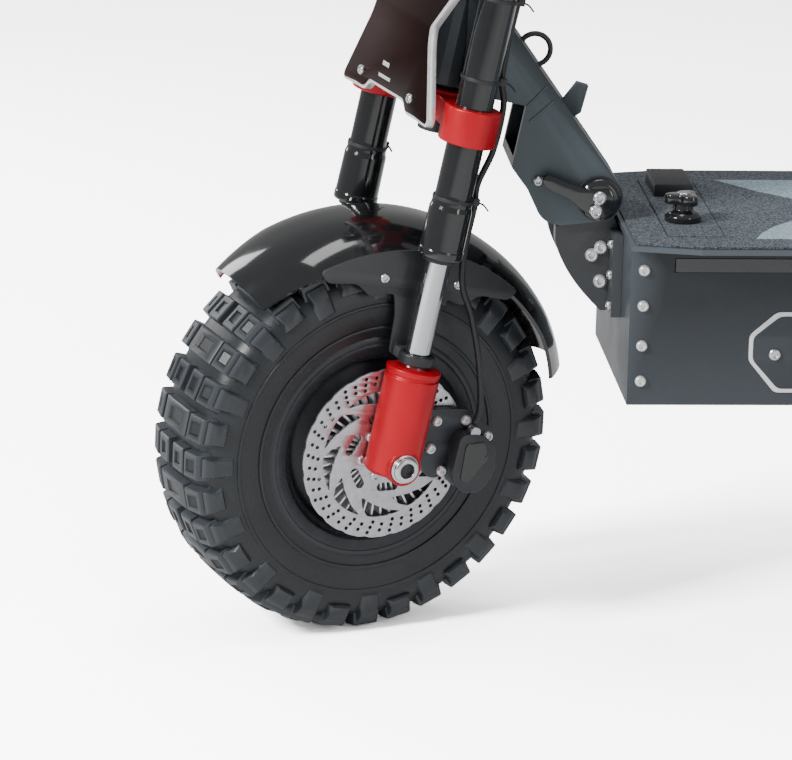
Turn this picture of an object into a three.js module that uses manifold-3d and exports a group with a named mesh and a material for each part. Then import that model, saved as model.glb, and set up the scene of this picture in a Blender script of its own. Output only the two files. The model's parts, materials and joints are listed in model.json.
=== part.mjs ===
// Off-road electric kick scooter with a twin-leg fork, a folding neck and a
// battery deck. Millimetres, +X forward, +Y left, +Z up. The origin is on the
// ground, under the middle of the scooter.
import * as THREE from 'three';
import { mergeVertices } from 'three/addons/utils/BufferGeometryUtils.js';
import Module from 'manifold-3d';

const wasm = await Module();
wasm.setup();

// ---------------------------------------------------------------- dimensions
const deg = (angle) => (angle * Math.PI) / 180;

// Overall layout
const WHEELBASE = 1100;
const FRONT_X = 554;
const REAR_X = FRONT_X - WHEELBASE;
const GAP = 0.3; // left between pieces that touch

// Wheels
const TYRE_R = 178;
const TYRE_HALF = 57.5;
const TREAD_HALF = 29;
const RIM_R = 94.75;
const RIM_HALF = 52;
const AXLE_R = 7.8;
const ROTOR_R = 79.6;
const ROTOR_Y = 66;
const ROTOR_T = 2.4;
const HUB_BOSS_R = 30;

// Steering geometry
const RAKE = deg(11.25);
const STEER = deg(22.8); // the bars rest turned to the left
const LEG_X = 14; // legs ahead of the steering axis
const LEG_Y = 85;
const CAMBER = Math.asin(Math.sin(STEER) * Math.sin(RAKE));
const FRONT_AXLE_Z = TYRE_R * Math.cos(CAMBER) + TREAD_HALF * Math.sin(CAMBER);
const REAR_AXLE_Z = TYRE_R;

// Fork, measured up the legs from the axle
const STANCHION_R = 11.5;
const TUBE_R = 16.5;
const SEAL_R = 20;
const LOWER_R = 24.5;
const LOWER_BOTTOM = -11;
const LOWER_TOP = 87;
const LEG_FLAT_Y = 70; // inner flat of the fork lowers
const SEAL_S = 190;
const TUBE_TOP = 478;
const CROWN_S = 310;
const CROWN_H = 32;
const CLAMP_R = 25.5;
const UPPER_CROWN_S = 463;
const UPPER_CROWN_H = 26;
const STEERER_R = 14.5;
const STEM_R = 20;
const STEM_TOP = 1030;
const BAR_S = 1052;
const BAR_R = 11;

// Deck
const BOX_FRONT = FRONT_X - 235;
const BOX_LENGTH = 620;
const BOX_REAR = BOX_FRONT - BOX_LENGTH;
const BOX_HALF = 121;
const BOX_BOTTOM = 235;
const BOX_TOP = 378;
const WALL = 5;
const PLATE_T = 4.7;
const PLATE_Z = BOX_TOP + GAP;
const PLATE_TOP = PLATE_Z + PLATE_T;
const MAT_T = 1.6;
const MAT_TOP = PLATE_TOP + GAP + MAT_T;
const DECK_HALF = 153;
const DECK_NOSE_HALF = 139;
const DECK_FRONT = BOX_FRONT + 2;
const DECK_WIDE_X = FRONT_X - 292; // where the deck reaches its full width

// Hatch in the deck
const HATCH_FRONT = FRONT_X - 268;
const HATCH_REAR = FRONT_X - 317;
const HATCH_LEFT = 112;
const HATCH_RIGHT = -107;
const KNOB_X = FRONT_X - 288;
const KNOB_Y = 53;

// Fold pivot and neck
const PIVOT_X = FRONT_X - 213.7;
const PIVOT_Z = 403.4;
const NECK_HALF = 45;
const NECK_WALL = 7.5;
const NECK_END_R = 21.6;
const PIN_R = 7;
const EAR_R = 18;
const NECK_LEAN = deg(35.3); // the neck's rear edge leans forward this much
const HEAD_R = 27;
const HEAD_BOTTOM = CROWN_S + CROWN_H / 2 + 3;
const HEAD_TOP = UPPER_CROWN_S - UPPER_CROWN_H / 2 - 3;

// Rear suspension
const ARM_PIVOT = [BOX_REAR - 30, 262];
const ARM_INNER = 72;
const ARM_T = 13;
const SHOCK_Y = 121;
const SHOCK_TOP = [BOX_REAR - 33, 365];
const SHOCK_FOOT = [REAR_X + 70, 205];

// Stand
const STAND_X = 60;
const STAND_Y = 104;
const STAND_Z = 220;
const STAND_FOOT_Y = 186;

// ----------------------------------------------------------------- materials
const finish = (color, roughness, metalness) => new THREE.MeshStandardMaterial({ color, roughness, metalness });
const GLOSS_BLACK = finish(0x0b0c0e, 0.18, 0.1);
const SATIN_BLACK = finish(0x1b1e22, 0.5, 0.3);
const BOX_GREY = finish(0x2b3036, 0.55, 0.4);
const NECK_GREY = finish(0x4f6170, 0.42, 0.5);
const RED_ANODISED = finish(0xd81426, 0.3, 0.75);
const CHROME = finish(0xd8dadd, 0.08, 1.0);
const STEEL = finish(0xb9bcc0, 0.3, 0.95);
const ALUMINIUM = finish(0x9aa0a6, 0.4, 0.9);
const RUBBER = finish(0x25292d, 0.8, 0.0);
const GRIP_TAPE = finish(0x5d666e, 0.95, 0.0);
const PLATE_BROWN = finish(0x2a1714, 0.12, 0.3);
const LENS = finish(0xdfe8ee, 0.1, 0.0);
const RED_LENS = finish(0xb01018, 0.15, 0.0);
const CELL_BLUE = finish(0x224a86, 0.6, 0.0);

// -------------------------------------------------------------- shape helpers
function bare(geometry) {
  const copy = geometry.index ? geometry.toNonIndexed() : geometry.clone();
  copy.deleteAttribute('normal');
  copy.deleteAttribute('uv');
  return mergeVertices(copy, 1e-4);
}

function toSolid(geometry) {
  const merged = bare(geometry);
  const vertProperties = new Float32Array(merged.attributes.position.array);
  const triVerts = new Uint32Array(merged.index.array);
  return new wasm.Manifold(new wasm.Mesh({ numProp: 3, vertProperties, triVerts }));
}

function toGeometry(solid) {
  const mesh = solid.getMesh();
  const geometry = new THREE.BufferGeometry();
  geometry.setAttribute('position', new THREE.BufferAttribute(new Float32Array(mesh.vertProperties), 3));
  geometry.setIndex(new THREE.BufferAttribute(new Uint32Array(mesh.triVerts), 1));
  return geometry;
}

// Joins the first list of shapes and cuts the second list away.
function build(joined, cut = []) {
  let solid = toSolid(joined[0]);
  for (const shape of joined.slice(1)) solid = solid.add(toSolid(shape));
  for (const shape of cut) solid = solid.subtract(toSolid(shape));
  return toGeometry(solid);
}

function common(first, second) {
  return toGeometry(toSolid(first).intersect(toSolid(second)));
}

// A box between two corners.
function block(x0, x1, y0, y1, z0, z1) {
  const geometry = new THREE.BoxGeometry(x1 - x0, y1 - y0, z1 - z0);
  return geometry.translate((x0 + x1) / 2, (y0 + y1) / 2, (z0 + z1) / 2);
}

// A cylinder along Y between two widths, centred on (x, z).
function rodY(x, z, radius, y0, y1, sides = 16) {
  const geometry = new THREE.CylinderGeometry(radius, radius, y1 - y0, sides);
  return geometry.translate(x, (y0 + y1) / 2, z);
}

// A cylinder along Z between two heights, centred on (x, y).
function rodZ(x, y, radius, z0, z1, sides = 20) {
  const geometry = new THREE.CylinderGeometry(radius, radius, z1 - z0, sides);
  return geometry.rotateX(Math.PI / 2).translate(x, y, (z0 + z1) / 2);
}

// A cylinder along X between two places, centred on (y, z).
function rodX(y, z, radius, x0, x1, sides = 12) {
  const geometry = new THREE.CylinderGeometry(radius, radius, x1 - x0, sides);
  return geometry.rotateZ(Math.PI / 2).translate((x0 + x1) / 2, y, z);
}

// A shape drawn in X and Z, extruded across from y0 to y1.
function slab(shape, y0, y1, curveSegments = 6) {
  const geometry = new THREE.ExtrudeGeometry(shape, { depth: y1 - y0, bevelEnabled: false, curveSegments });
  return geometry.rotateX(Math.PI / 2).translate(0, y1, 0);
}

// A shape drawn in X and Y, extruded upward from z0 to z1.
function plate(shape, z0, z1, curveSegments = 10) {
  const geometry = new THREE.ExtrudeGeometry(shape, { depth: z1 - z0, bevelEnabled: false, curveSegments });
  return geometry.translate(0, 0, z0);
}

function outline(points) {
  return new THREE.Shape(points.map(([u, v]) => new THREE.Vector2(u, v)));
}

// A turned shape about Z from [radius, height] points.
function turned(points, segments = 20) {
  return new THREE.LatheGeometry(points.map(([r, h]) => new THREE.Vector2(r, h)), segments).rotateX(Math.PI / 2);
}

// A turned shape about the Y axis from [radius, y] points.
function wheelTurned(points, segments = 36) {
  return new THREE.LatheGeometry(points.map(([r, y]) => new THREE.Vector2(r, y)), segments);
}

const closed = (points) => [...points, points[0]];

// A round tube along a curve.
function sweep(curve, radius, steps, quarterSides = 4) {
  const section = new THREE.Shape();
  section.absarc(0, 0, radius, 0, 2 * Math.PI);
  return new THREE.ExtrudeGeometry(section, {
    steps,
    extrudePath: curve,
    bevelEnabled: false,
    curveSegments: quarterSides,
  });
}

function smooth(points) {
  return new THREE.CatmullRomCurve3(points.map((p) => new THREE.Vector3(...p)), false, 'catmullrom', 0.5);
}

// The outline that wraps two circles, drawn from the first to the second.
function link([x0, z0], r0, [x1, z1], r1) {
  const along = Math.atan2(z1 - z0, x1 - x0);
  const lean = Math.acos((r0 - r1) / Math.hypot(x1 - x0, z1 - z0));
  const shape = new THREE.Shape();
  shape.absarc(x1, z1, r1, along - lean, along + lean, false);
  shape.absarc(x0, z0, r0, along + lean, along - lean + 2 * Math.PI, false);
  return shape;
}

// -------------------------------------------------------------------- groups
const scooter = new THREE.Group();
const headset = new THREE.Group();
headset.position.set(
  FRONT_X - LEG_X * Math.cos(RAKE),
  0,
  FRONT_AXLE_Z - LEG_X * Math.sin(RAKE) * Math.cos(STEER),
);
headset.rotation.y = -RAKE;
const steering = new THREE.Group();
steering.rotation.z = STEER;
const frontWheel = new THREE.Group();
frontWheel.position.x = LEG_X;
const rearWheel = new THREE.Group();
rearWheel.position.set(REAR_X, 0, REAR_AXLE_Z);
scooter.add(headset, rearWheel);
headset.add(steering);
steering.add(frontWheel);
headset.updateMatrix();

function add(group, name, material, geometry) {
  const mesh = new THREE.Mesh(geometry, material);
  mesh.name = name;
  group.add(mesh);
  return mesh;
}

const SIDES = [['left', 1], ['right', -1]];
const between = (a, b) => [Math.min(a, b), Math.max(a, b)];

// ---------------------------------------------------------------------- deck
function deckBox() {
  const slotX = [BOX_REAR + 60, FRONT_X - 273];
  const inner = BOX_HALF - WALL;
  const cuts = [block(BOX_REAR + WALL, BOX_FRONT - WALL, -inner, inner, BOX_BOTTOM + WALL, 400)];
  for (const [, side] of SIDES) {
    cuts.push(block(...slotX, ...between(side * (BOX_HALF - 2.5), side * (BOX_HALF + 5)), 355, 368));
  }
  const box = block(BOX_REAR, BOX_FRONT, -BOX_HALF, BOX_HALF, BOX_BOTTOM, BOX_TOP);
  const ear = (y) => block(STAND_X - 15, STAND_X + 15, y - 2, y + 3, STAND_Z - 9, BOX_BOTTOM + 1);
  return build([box, ear(94), ear(115)], cuts);
}

function deckOutline(inset) {
  const half = DECK_HALF - inset;
  const nose = DECK_NOSE_HALF - inset;
  return outline([
    [BOX_REAR + 1 + inset, -half], [DECK_WIDE_X, -half], [DECK_FRONT - inset, -nose],
    [DECK_FRONT - inset, nose], [DECK_WIDE_X, half], [BOX_REAR + 1 + inset, half],
  ]);
}

function hatchHole(z0, z1) {
  return block(HATCH_REAR - 1, HATCH_FRONT + 1, HATCH_RIGHT - 1, HATCH_LEFT + 1, z0, z1);
}

function addDeck() {
  add(scooter, 'deck_box', BOX_GREY, deckBox());
  const deckPlate = build([plate(deckOutline(0), PLATE_Z, PLATE_TOP)], [hatchHole(370, 390)]);
  add(scooter, 'deck_plate', BOX_GREY, deckPlate);
  const mat = build([plate(deckOutline(4), PLATE_TOP + GAP, MAT_TOP)], [hatchHole(380, 390)]);
  add(scooter, 'grip_mat', GRIP_TAPE, mat);
  const lidTop = MAT_TOP + 0.6;
  const lid = [
    block(HATCH_REAR, HATCH_FRONT, HATCH_RIGHT, HATCH_LEFT, PLATE_Z, lidTop),
    block(HATCH_REAR + 8, HATCH_FRONT - 8, HATCH_RIGHT + 4, HATCH_RIGHT + 68, lidTop - 1, lidTop + 9),
  ];
  add(scooter, 'hatch_lid', SATIN_BLACK, build(lid));
  const base = lidTop + GAP;
  const knob = [
    rodZ(KNOB_X, KNOB_Y, 17, base, base + 15),
    rodZ(KNOB_X, KNOB_Y, 11, base + 14, base + 22),
    block(KNOB_X - 20, KNOB_X + 20, KNOB_Y - 5, KNOB_Y + 5, base + 14, base + 24),
  ];
  add(scooter, 'hatch_knob', SATIN_BLACK, build(knob));
  const inside = BOX_BOTTOM + WALL + GAP;
  add(scooter, 'battery_pack', CELL_BLUE, block(BOX_REAR + 110, BOX_FRONT - 10, -105, 105, inside, 335));
  add(scooter, 'motor_controller', ALUMINIUM, block(BOX_REAR + 12, BOX_REAR + 95, -95, 95, inside, 300));
  const port = [block(KNOB_X - 18, KNOB_X + 18, -40, 10, 335 + GAP, 352), rodZ(KNOB_X, -15, 13, 351, 366)];
  add(scooter, 'charge_port', SATIN_BLACK, build(port, [rodZ(KNOB_X, -15, 9, 356, 370)]));
  for (const [label, side] of SIDES) {
    const across = between(side * (BOX_HALF - 2.2), side * (BOX_HALF + 0.6));
    add(scooter, `side_light_${label}`, LENS, block(BOX_REAR + 61, FRONT_X - 274, ...across, 355.5, 367.5));
  }
}

// A stepped plate at the rear of the deck that the rider's foot braces on.
function addRearRest() {
  const x0 = BOX_REAR;
  const top = MAT_TOP + 1;
  const profile = outline([
    [x0 + 40, top], [x0 + 40, top + 5], [x0 + 6, top + 5], [x0 - 82, top + 62], [x0 - 104, top + 62],
    [x0 - 104, top + 57], [x0 - 84, top + 57], [x0 + 2, top],
  ]);
  add(scooter, 'rear_footrest', SATIN_BLACK, slab(profile, -108, 108));
  add(scooter, 'tail_light', RED_LENS, block(x0 - 116, x0 - 104.3, -55, 55, top + 38, top + 60));
}

// -------------------------------------------------------------- fold and neck
function hingeBase() {
  const face = BOX_FRONT + GAP;
  const x = (value) => FRONT_X - value;
  const cheek = new THREE.Shape();
  cheek.moveTo(face, 299);
  cheek.lineTo(x(219), 299);
  cheek.quadraticCurveTo(x(184), 332, x(177), 363);
  cheek.lineTo(x(177), 376);
  cheek.lineTo(PIVOT_X + EAR_R, 378);
  cheek.lineTo(PIVOT_X + EAR_R, PIVOT_Z);
  cheek.absarc(PIVOT_X, PIVOT_Z, EAR_R, 0, 1.25 * Math.PI, false);
  cheek.lineTo(face, 370);
  const cheeks = SIDES.map(([, side]) => slab(cheek, ...between(side * 22, side * 36.5), 8));
  const bridges = [block(face, x(200), -30, 30, 345, 374), block(face, face + 9, -62, 62, 299, 374)];
  return build([...cheeks, ...bridges], [rodY(PIVOT_X, PIVOT_Z, PIN_R + GAP, -60, 60)]);
}

const NECK_UP = [Math.sin(NECK_LEAN), Math.cos(NECK_LEAN)];

// A point on the neck's rear edge, moved in by a wall thickness.
function neckRear(inset, along) {
  const r = NECK_END_R - inset;
  return [PIVOT_X - r * NECK_UP[1] + along * NECK_UP[0], PIVOT_Z + r * NECK_UP[0] + along * NECK_UP[1]];
}

// Side view of the neck, from the fold pivot up to the head tube.
function neckShape() {
  const x = (value) => FRONT_X - value;
  const shape = new THREE.Shape();
  shape.moveTo(...neckRear(0, 0));
  shape.absarc(PIVOT_X, PIVOT_Z, NECK_END_R, Math.PI - NECK_LEAN, 1.5 * Math.PI, false);
  shape.lineTo(x(180), 378.5);
  shape.quadraticCurveTo(x(165), 380, x(159.5), 391);
  shape.lineTo(x(150), 411);
  shape.lineTo(x(122), 449);
  shape.lineTo(x(106), 478);
  shape.lineTo(x(92), 512);
  shape.lineTo(x(94), 580);
  shape.lineTo(...neckRear(0, 215));
  return shape;
}

function neckHollow() {
  const x = (value) => FRONT_X - value;
  return outline([
    neckRear(6, 4), [PIVOT_X - 12, 360], [x(174), 360], [x(169), 391], [x(158), 411], [x(130), 449],
    [x(116), 478], neckRear(6, 150),
  ]);
}

// A shape in the steering axis's frame moved to where it sits at rest.
const onHeadset = (geometry) => geometry.applyMatrix4(headset.matrix);

function neckFrame() {
  const outer = slab(neckShape(), -NECK_HALF, NECK_HALF, 8);
  const hollow = slab(neckHollow(), NECK_WALL - NECK_HALF, NECK_HALF - NECK_WALL);
  const earRoom = block(BOX_FRONT - 20, FRONT_X - 172, -37.2, 37.2, 340, PIVOT_Z + 8);
  const under = onHeadset(block(-70, 90, -110, 110, HEAD_BOTTOM - 70, HEAD_BOTTOM));
  const over = onHeadset(block(-90, 90, -110, 110, HEAD_TOP, HEAD_TOP + 120));
  const pinHole = rodY(PIVOT_X, PIVOT_Z, PIN_R + GAP, -60, 60);
  const earTurn = rodY(PIVOT_X, PIVOT_Z, EAR_R + 0.9, -37.2, 37.2, 24);
  const ringRoom = outline([neckRear(-1, 116), neckRear(20, 116), neckRear(20, 153), neckRear(-1, 153)]);
  const ringSlot = slab(ringRoom, -3.6, 3.6);
  const shell = build([outer], [hollow, earRoom, earTurn, under, over, pinHole, ringSlot]);
  const tube = onHeadset(rodZ(0, 0, HEAD_R, HEAD_BOTTOM, HEAD_TOP));
  const bore = onHeadset(rodZ(0, 0, STEERER_R + 0.6, HEAD_BOTTOM - 40, HEAD_TOP + 40));
  const x = (value) => FRONT_X - value;
  const tab = slab(outline([[x(178), 475], [x(185), 462], [x(200), 472], [x(206), 496], [x(196), 499]]), -5, 5);
  return build([shell, tube, tab], [bore]);
}

function addNeck() {
  add(scooter, 'hinge_base', SATIN_BLACK, hingeBase());
  add(scooter, 'fold_pin', STEEL, rodY(PIVOT_X, PIVOT_Z, PIN_R, -49, 46));
  add(scooter, 'neck_frame', NECK_GREY, neckFrame());
  const tip = [PIVOT_X + 46, PIVOT_Z + 18];
  const lever = [
    rodY(PIVOT_X, PIVOT_Z, 19.5, NECK_HALF + 1.5, NECK_HALF + 11),
    slab(link([PIVOT_X, PIVOT_Z], 11, tip, 6.5), NECK_HALF + 5, NECK_HALF + 15, 6),
  ];
  add(scooter, 'fold_lever', GLOSS_BLACK, build(lever));
  const loop = new THREE.TorusGeometry(14, 2.6, 6, 18).rotateX(Math.PI / 2);
  loop.rotateY(NECK_LEAN).translate(FRONT_X - 157.5, 0, 528);
  add(scooter, 'latch_ring', STEEL, loop);
}

// --------------------------------------------------------- fork and steering
function crown(centre, height) {
  const [z0, z1] = [centre - height / 2, centre + height / 2];
  const joined = [
    block(LEG_X - 28, LEG_X + 16, -LEG_Y, LEG_Y, z0 + 5, z1 - 5),
    rodZ(0, 0, 26, z0 + 3, z1 - 3),
    ...SIDES.map(([, side]) => rodZ(LEG_X, side * LEG_Y, CLAMP_R, z0, z1, 20)),
  ];
  const legs = SIDES.map(([, side]) => rodZ(LEG_X, side * LEG_Y, TUBE_R + GAP + 0.2, z0 - 5, z1 + 5, 20));
  return build(joined, [...legs, rodZ(0, 0, STEERER_R + GAP, z0 - 5, z1 + 5)]);
}

function forkTube(side) {
  const bore = STANCHION_R + 0.5;
  const points = [
    [0, TUBE_TOP - 8], [bore, TUBE_TOP - 8], [bore, SEAL_S], [SEAL_R, SEAL_S], [SEAL_R, SEAL_S + 8],
    [SEAL_R - 1, SEAL_S + 46], [TUBE_R, SEAL_S + 56], [TUBE_R, TUBE_TOP], [0, TUBE_TOP],
  ];
  return turned(points, 20).translate(LEG_X, side * LEG_Y, 0);
}

// Shield plate in front of the legs: waisted, with two pointed feet.
function frontPlate() {
  const half = [
    [32, CROWN_S + 2], [55, CROWN_S - 7], [82, CROWN_S - 6], [54, CROWN_S + 62],
    [55, CROWN_S + 74], [86, CROWN_S + 122], [78, CROWN_S + 140], [0, CROWN_S + 150],
  ];
  const otherHalf = half.slice(0, -1).reverse().map(([y, z]) => [-y, z]);
  const shape = outline([...half, ...otherHalf]);
  const x = LEG_X + 36;
  const face = new THREE.ExtrudeGeometry(shape, { depth: 5, bevelEnabled: false });
  face.applyMatrix4(new THREE.Matrix4().makeBasis(
    new THREE.Vector3(0, 1, 0), new THREE.Vector3(0, 0, 1), new THREE.Vector3(1, 0, 0)));
  face.translate(x, 0, 0);
  const studs = [48, -48].map((y) => rodX(y, CROWN_S + 6, 4, LEG_X + 16.4, x + 1, 12));
  return build([face, ...studs]);
}

function stemColumn() {
  const points = [
    [0, 282], [STEERER_R, 282], [STEERER_R, 479], [STEM_R, 486], [STEM_R, STEM_TOP], [0, STEM_TOP],
  ];
  const clamp = block(-22, 24, -32, 32, BAR_S - 24, BAR_S + 20);
  return build([turned(points, 20), clamp], [rodY(0, BAR_S, BAR_R + GAP, -60, 60)]);
}

const BAR_RISE = [0, 120, BAR_S + 26];
const BAR_BEND = [0, 50, BAR_S];
const BAR_END = [-26, 345, BAR_S + 32];

function handlebar() {
  const path = new THREE.CurvePath();
  const mirrored = ([x, y, z]) => new THREE.Vector3(x, -y, z);
  const place = (p) => new THREE.Vector3(...p);
  const corner = [[0, 62, BAR_S + 5], [0, 100, BAR_S + 22], [-4, 150, BAR_S + 28]];
  path.add(new THREE.LineCurve3(mirrored(BAR_END), mirrored(corner[2])));
  path.add(new THREE.QuadraticBezierCurve3(mirrored(corner[2]), mirrored(BAR_RISE), mirrored(corner[1])));
  path.add(new THREE.LineCurve3(mirrored(corner[1]), mirrored(corner[0])));
  const middle = [0, 40, BAR_S];
  path.add(new THREE.QuadraticBezierCurve3(mirrored(corner[0]), mirrored(BAR_BEND), mirrored(middle)));
  path.add(new THREE.LineCurve3(mirrored(middle), place(middle)));
  path.add(new THREE.QuadraticBezierCurve3(place(middle), place(BAR_BEND), place(corner[0])));
  path.add(new THREE.LineCurve3(place(corner[0]), place(corner[1])));
  path.add(new THREE.QuadraticBezierCurve3(place(corner[1]), place(BAR_RISE), place(corner[2])));
  path.add(new THREE.LineCurve3(place(corner[2]), place(BAR_END)));
  return sweep(path, BAR_R, 34, 5);
}

// A frame whose Y axis runs out along one end of the handlebar.
function barEnd(side) {
  const end = new THREE.Vector3(BAR_END[0], side * BAR_END[1], BAR_END[2]);
  const bend = new THREE.Vector3(-4, side * 150, BAR_S + 28);
  const out = end.clone().sub(bend).normalize();
  const turn = new THREE.Quaternion().setFromUnitVectors(new THREE.Vector3(0, side, 0), out);
  const group = new THREE.Group();
  group.position.copy(bend);
  group.quaternion.copy(turn);
  steering.add(group);
  return group;
}

function addBarControls(label, side) {
  const group = barEnd(side);
  const span = (y0, y1) => between(side * y0, side * y1);
  const gripProfile = [
    [12, 76], [17, 76], [17, 82], [15.8, 86], [15.8, 186], [17.5, 190], [17.5, 196], [12, 196],
  ];
  const grip = wheelTurned(closed(gripProfile), 16);
  add(group, `grip_${label}`, RUBBER, side > 0 ? grip : grip.rotateX(Math.PI));
  const bore = rodY(0, 0, BAR_R + 0.7, ...span(10, 110));
  const perch = [rodY(0, 0, 17.5, ...span(28, 54)), block(10, 40, ...span(30, 50), -6, 12)];
  const pivotX = 34;
  const pivotY = side * 40;
  if (side > 0) perch.push(block(-23, 16, ...span(52, 72), -24, 20));
  else perch.push(block(-20, 20, ...span(52, 68), -22, 24), block(-14, 34, ...span(34, 62), 18, 40));
  const slot = block(27, 46, ...span(28, 55), 0.5, 8.5);
  const buttonHole = block(-30, -13, ...span(55, 66), -2, 9);
  add(group, `control_pod_${label}`, SATIN_BLACK, build(perch, side > 0 ? [bore, slot, buttonHole] : [bore, slot]));
  const blade = new THREE.Shape();
  blade.moveTo(pivotX - 5, side * 36);
  blade.lineTo(pivotX + 6, side * 36);
  blade.quadraticCurveTo(pivotX + 26, side * 70, pivotX + 24, side * 110);
  blade.lineTo(pivotX + 22, side * 178);
  blade.lineTo(pivotX + 12, side * 180);
  blade.lineTo(pivotX + 13, side * 110);
  blade.quadraticCurveTo(pivotX + 12, side * 76, pivotX - 5, side * 46);
  const lever = add(group, `brake_lever_${label}`, ALUMINIUM, plate(blade, 0.9, 8.1, 6));
  lever.userData.pivot = [pivotX, pivotY, 4.5];
  return group;
}

function addTriggers(leftGroup, rightGroup) {
  const button = add(leftGroup, 'horn_button', RED_ANODISED, block(-27, -15.5, 56, 65, -1, 8));
  button.userData.pivot = [-22, 60, 3.5];
  const paddle = [
    wheelTurned(closed([[12, -75.5], [19, -75.5], [19, -69], [12, -69]]), 16),
    block(-46, -14, -75, -69.6, -16, -8),
    block(-50, -34, -92, -69.6, -17, -9),
  ];
  add(rightGroup, 'throttle_trigger', SATIN_BLACK, build(paddle, [rodY(0, 0, BAR_R + 1, -80, -60)]));
}

function headlight() {
  const s = UPPER_CROWN_S;
  const body = wheelTurned([[0, -26], [20, -26], [31, -8], [33, 20], [30, 24], [0, 24]], 28);
  body.rotateZ(-Math.PI / 2).translate(LEG_X + 54, 0, s + 34);
  const arm = block(LEG_X + 16.4, LEG_X + 44, -14, 14, s - 1, s + 18);
  return build([body, arm]);
}

// Hoses clipped along the stem and the left leg.
function addHoses() {
  const leg = [LEG_X - 31, LEG_Y + 2];
  const upper = smooth([
    [...leg, 304], [...leg, 380], [...leg, 450], [-24, 62, 520], [2, 27, 600], [4, 27, 760], [4, 27, 930],
    [40, 70, 1035], [58, 130, 1078], [44, 168, BAR_S + 34],
  ]);
  add(steering, 'brake_hose_upper', RUBBER, sweep(upper, 3, 30));
  const lower = smooth([
    [LEG_X - 75, 80, 36.5], [LEG_X - 74, 82, 60], [LEG_X - 56, 86, 110], [LEG_X - 38, 87, 165],
    [...leg, 215], [...leg, 240],
  ]);
  add(steering, 'brake_hose_lower', RUBBER, sweep(lower, 3, 12));
}

function addSteering() {
  add(steering, 'lower_crown', RED_ANODISED, crown(CROWN_S, CROWN_H));
  add(steering, 'upper_crown', RED_ANODISED, crown(UPPER_CROWN_S, UPPER_CROWN_H));
  for (const [label, side] of SIDES) add(steering, `fork_tube_${label}`, GLOSS_BLACK, forkTube(side));
  add(steering, 'front_plate', PLATE_BROWN, frontPlate());
  add(steering, 'stem_column', SATIN_BLACK, stemColumn());
  add(steering, 'handlebar', SATIN_BLACK, handlebar());
  add(steering, 'headlight', GLOSS_BLACK, headlight());
  const [leftGroup, rightGroup] = SIDES.map(([label, side]) => addBarControls(label, side));
  addTriggers(leftGroup, rightGroup);
  addHoses();
}

// ------------------------------------------------- shared by the two wheels
function tyre() {
  const side = (y) => [
    [84, 45 * y], [RIM_R + 2, 45.6 * y], [116, TYRE_HALF * y], [142, TYRE_HALF * y], [165, 51 * y],
    [TYRE_R, TREAD_HALF * y],
  ];
  const inner = (y) => [[84, 36 * y], [120, 45 * y], [160, 34 * y]];
  const loop = [...side(-1), ...side(1).reverse(), ...inner(1), ...inner(-1).reverse()];
  return wheelTurned(closed(loop), 36);
}

function hub(boreR) {
  const face = ROTOR_Y - ROTOR_T / 2 - GAP;
  const loop = [
    [boreR, -60], [HUB_BOSS_R - 6, -60], [HUB_BOSS_R, -52], [76, -44], [RIM_R, -RIM_HALF],
    [RIM_R, -48], [83, -46], [83, 46], [RIM_R, 48], [RIM_R, RIM_HALF], [76, 44], [HUB_BOSS_R + 4, 54],
    [HUB_BOSS_R, face], [boreR, face],
  ];
  return wheelTurned(closed(loop), 24);
}

function rotor() {
  const shape = new THREE.Shape();
  shape.absarc(0, 0, ROTOR_R, 0, 2 * Math.PI);
  const bore = new THREE.Path();
  bore.absarc(0, 0, AXLE_R + 4, 0, 2 * Math.PI);
  shape.holes.push(bore);
  for (let k = 0; k < 6; k += 1) {
    const start = (k * Math.PI) / 3 + 0.14;
    const window = new THREE.Path();
    window.absarc(0, 0, 60, start, start + 0.76, false);
    window.absarc(0, 0, 34, start + 0.76, start, true);
    shape.holes.push(window);
  }
  return slab(shape, ROTOR_Y - ROTOR_T / 2, ROTOR_Y + ROTOR_T / 2, 5);
}

// A brake caliper that straddles the rotor's rear edge, with its bracket.
function caliper(bracket) {
  const body = outline([[-57, 32], [-80, 34], [-100, 22], [-104, -4], [-92, -24], [-72, -26], [-58, -12]]);
  const joined = [slab(body, 54.5, 94, 4), slab(bracket, 70.6, 76)];
  const sweepOut = wheelTurned([[0, 63], [ROTOR_R + 3, 63], [ROTOR_R + 3, 69], [0, 69]]);
  return build(joined, [sweepOut]);
}

// A curved mudguard between two angles round the wheel, on side stays.
function mudguard(from, to, joined, cuts = []) {
  const crest = 208;
  const points = (lift) => [
    [184 + lift, -63.5], [197 + lift, -54], [crest + lift, -22], [crest + lift, 22], [197 + lift, 54],
    [184 + lift, 63.5],
  ];
  const innerSide = points(-3.2).reverse().map(([r, y]) => [r, y * 0.95]);
  const ring = wheelTurned(closed([...points(0), ...innerSide]), 40);
  const wedge = new THREE.Shape();
  wedge.moveTo(0, 0);
  const reach = 330;
  wedge.lineTo(reach * Math.cos(deg(from)), reach * Math.sin(deg(from)));
  wedge.absarc(0, 0, reach, deg(from), deg(to), false);
  const arch = common(ring, slab(wedge, -80, 80, 12));
  return build([arch, ...joined], cuts);
}

function addWheel(group, place, boreR) {
  add(group, `${place}_hub`, GLOSS_BLACK, hub(boreR));
  add(group, `${place}_tyre`, RUBBER, tyre());
  add(group, `${place}_rotor`, STEEL, rotor());
}

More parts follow.
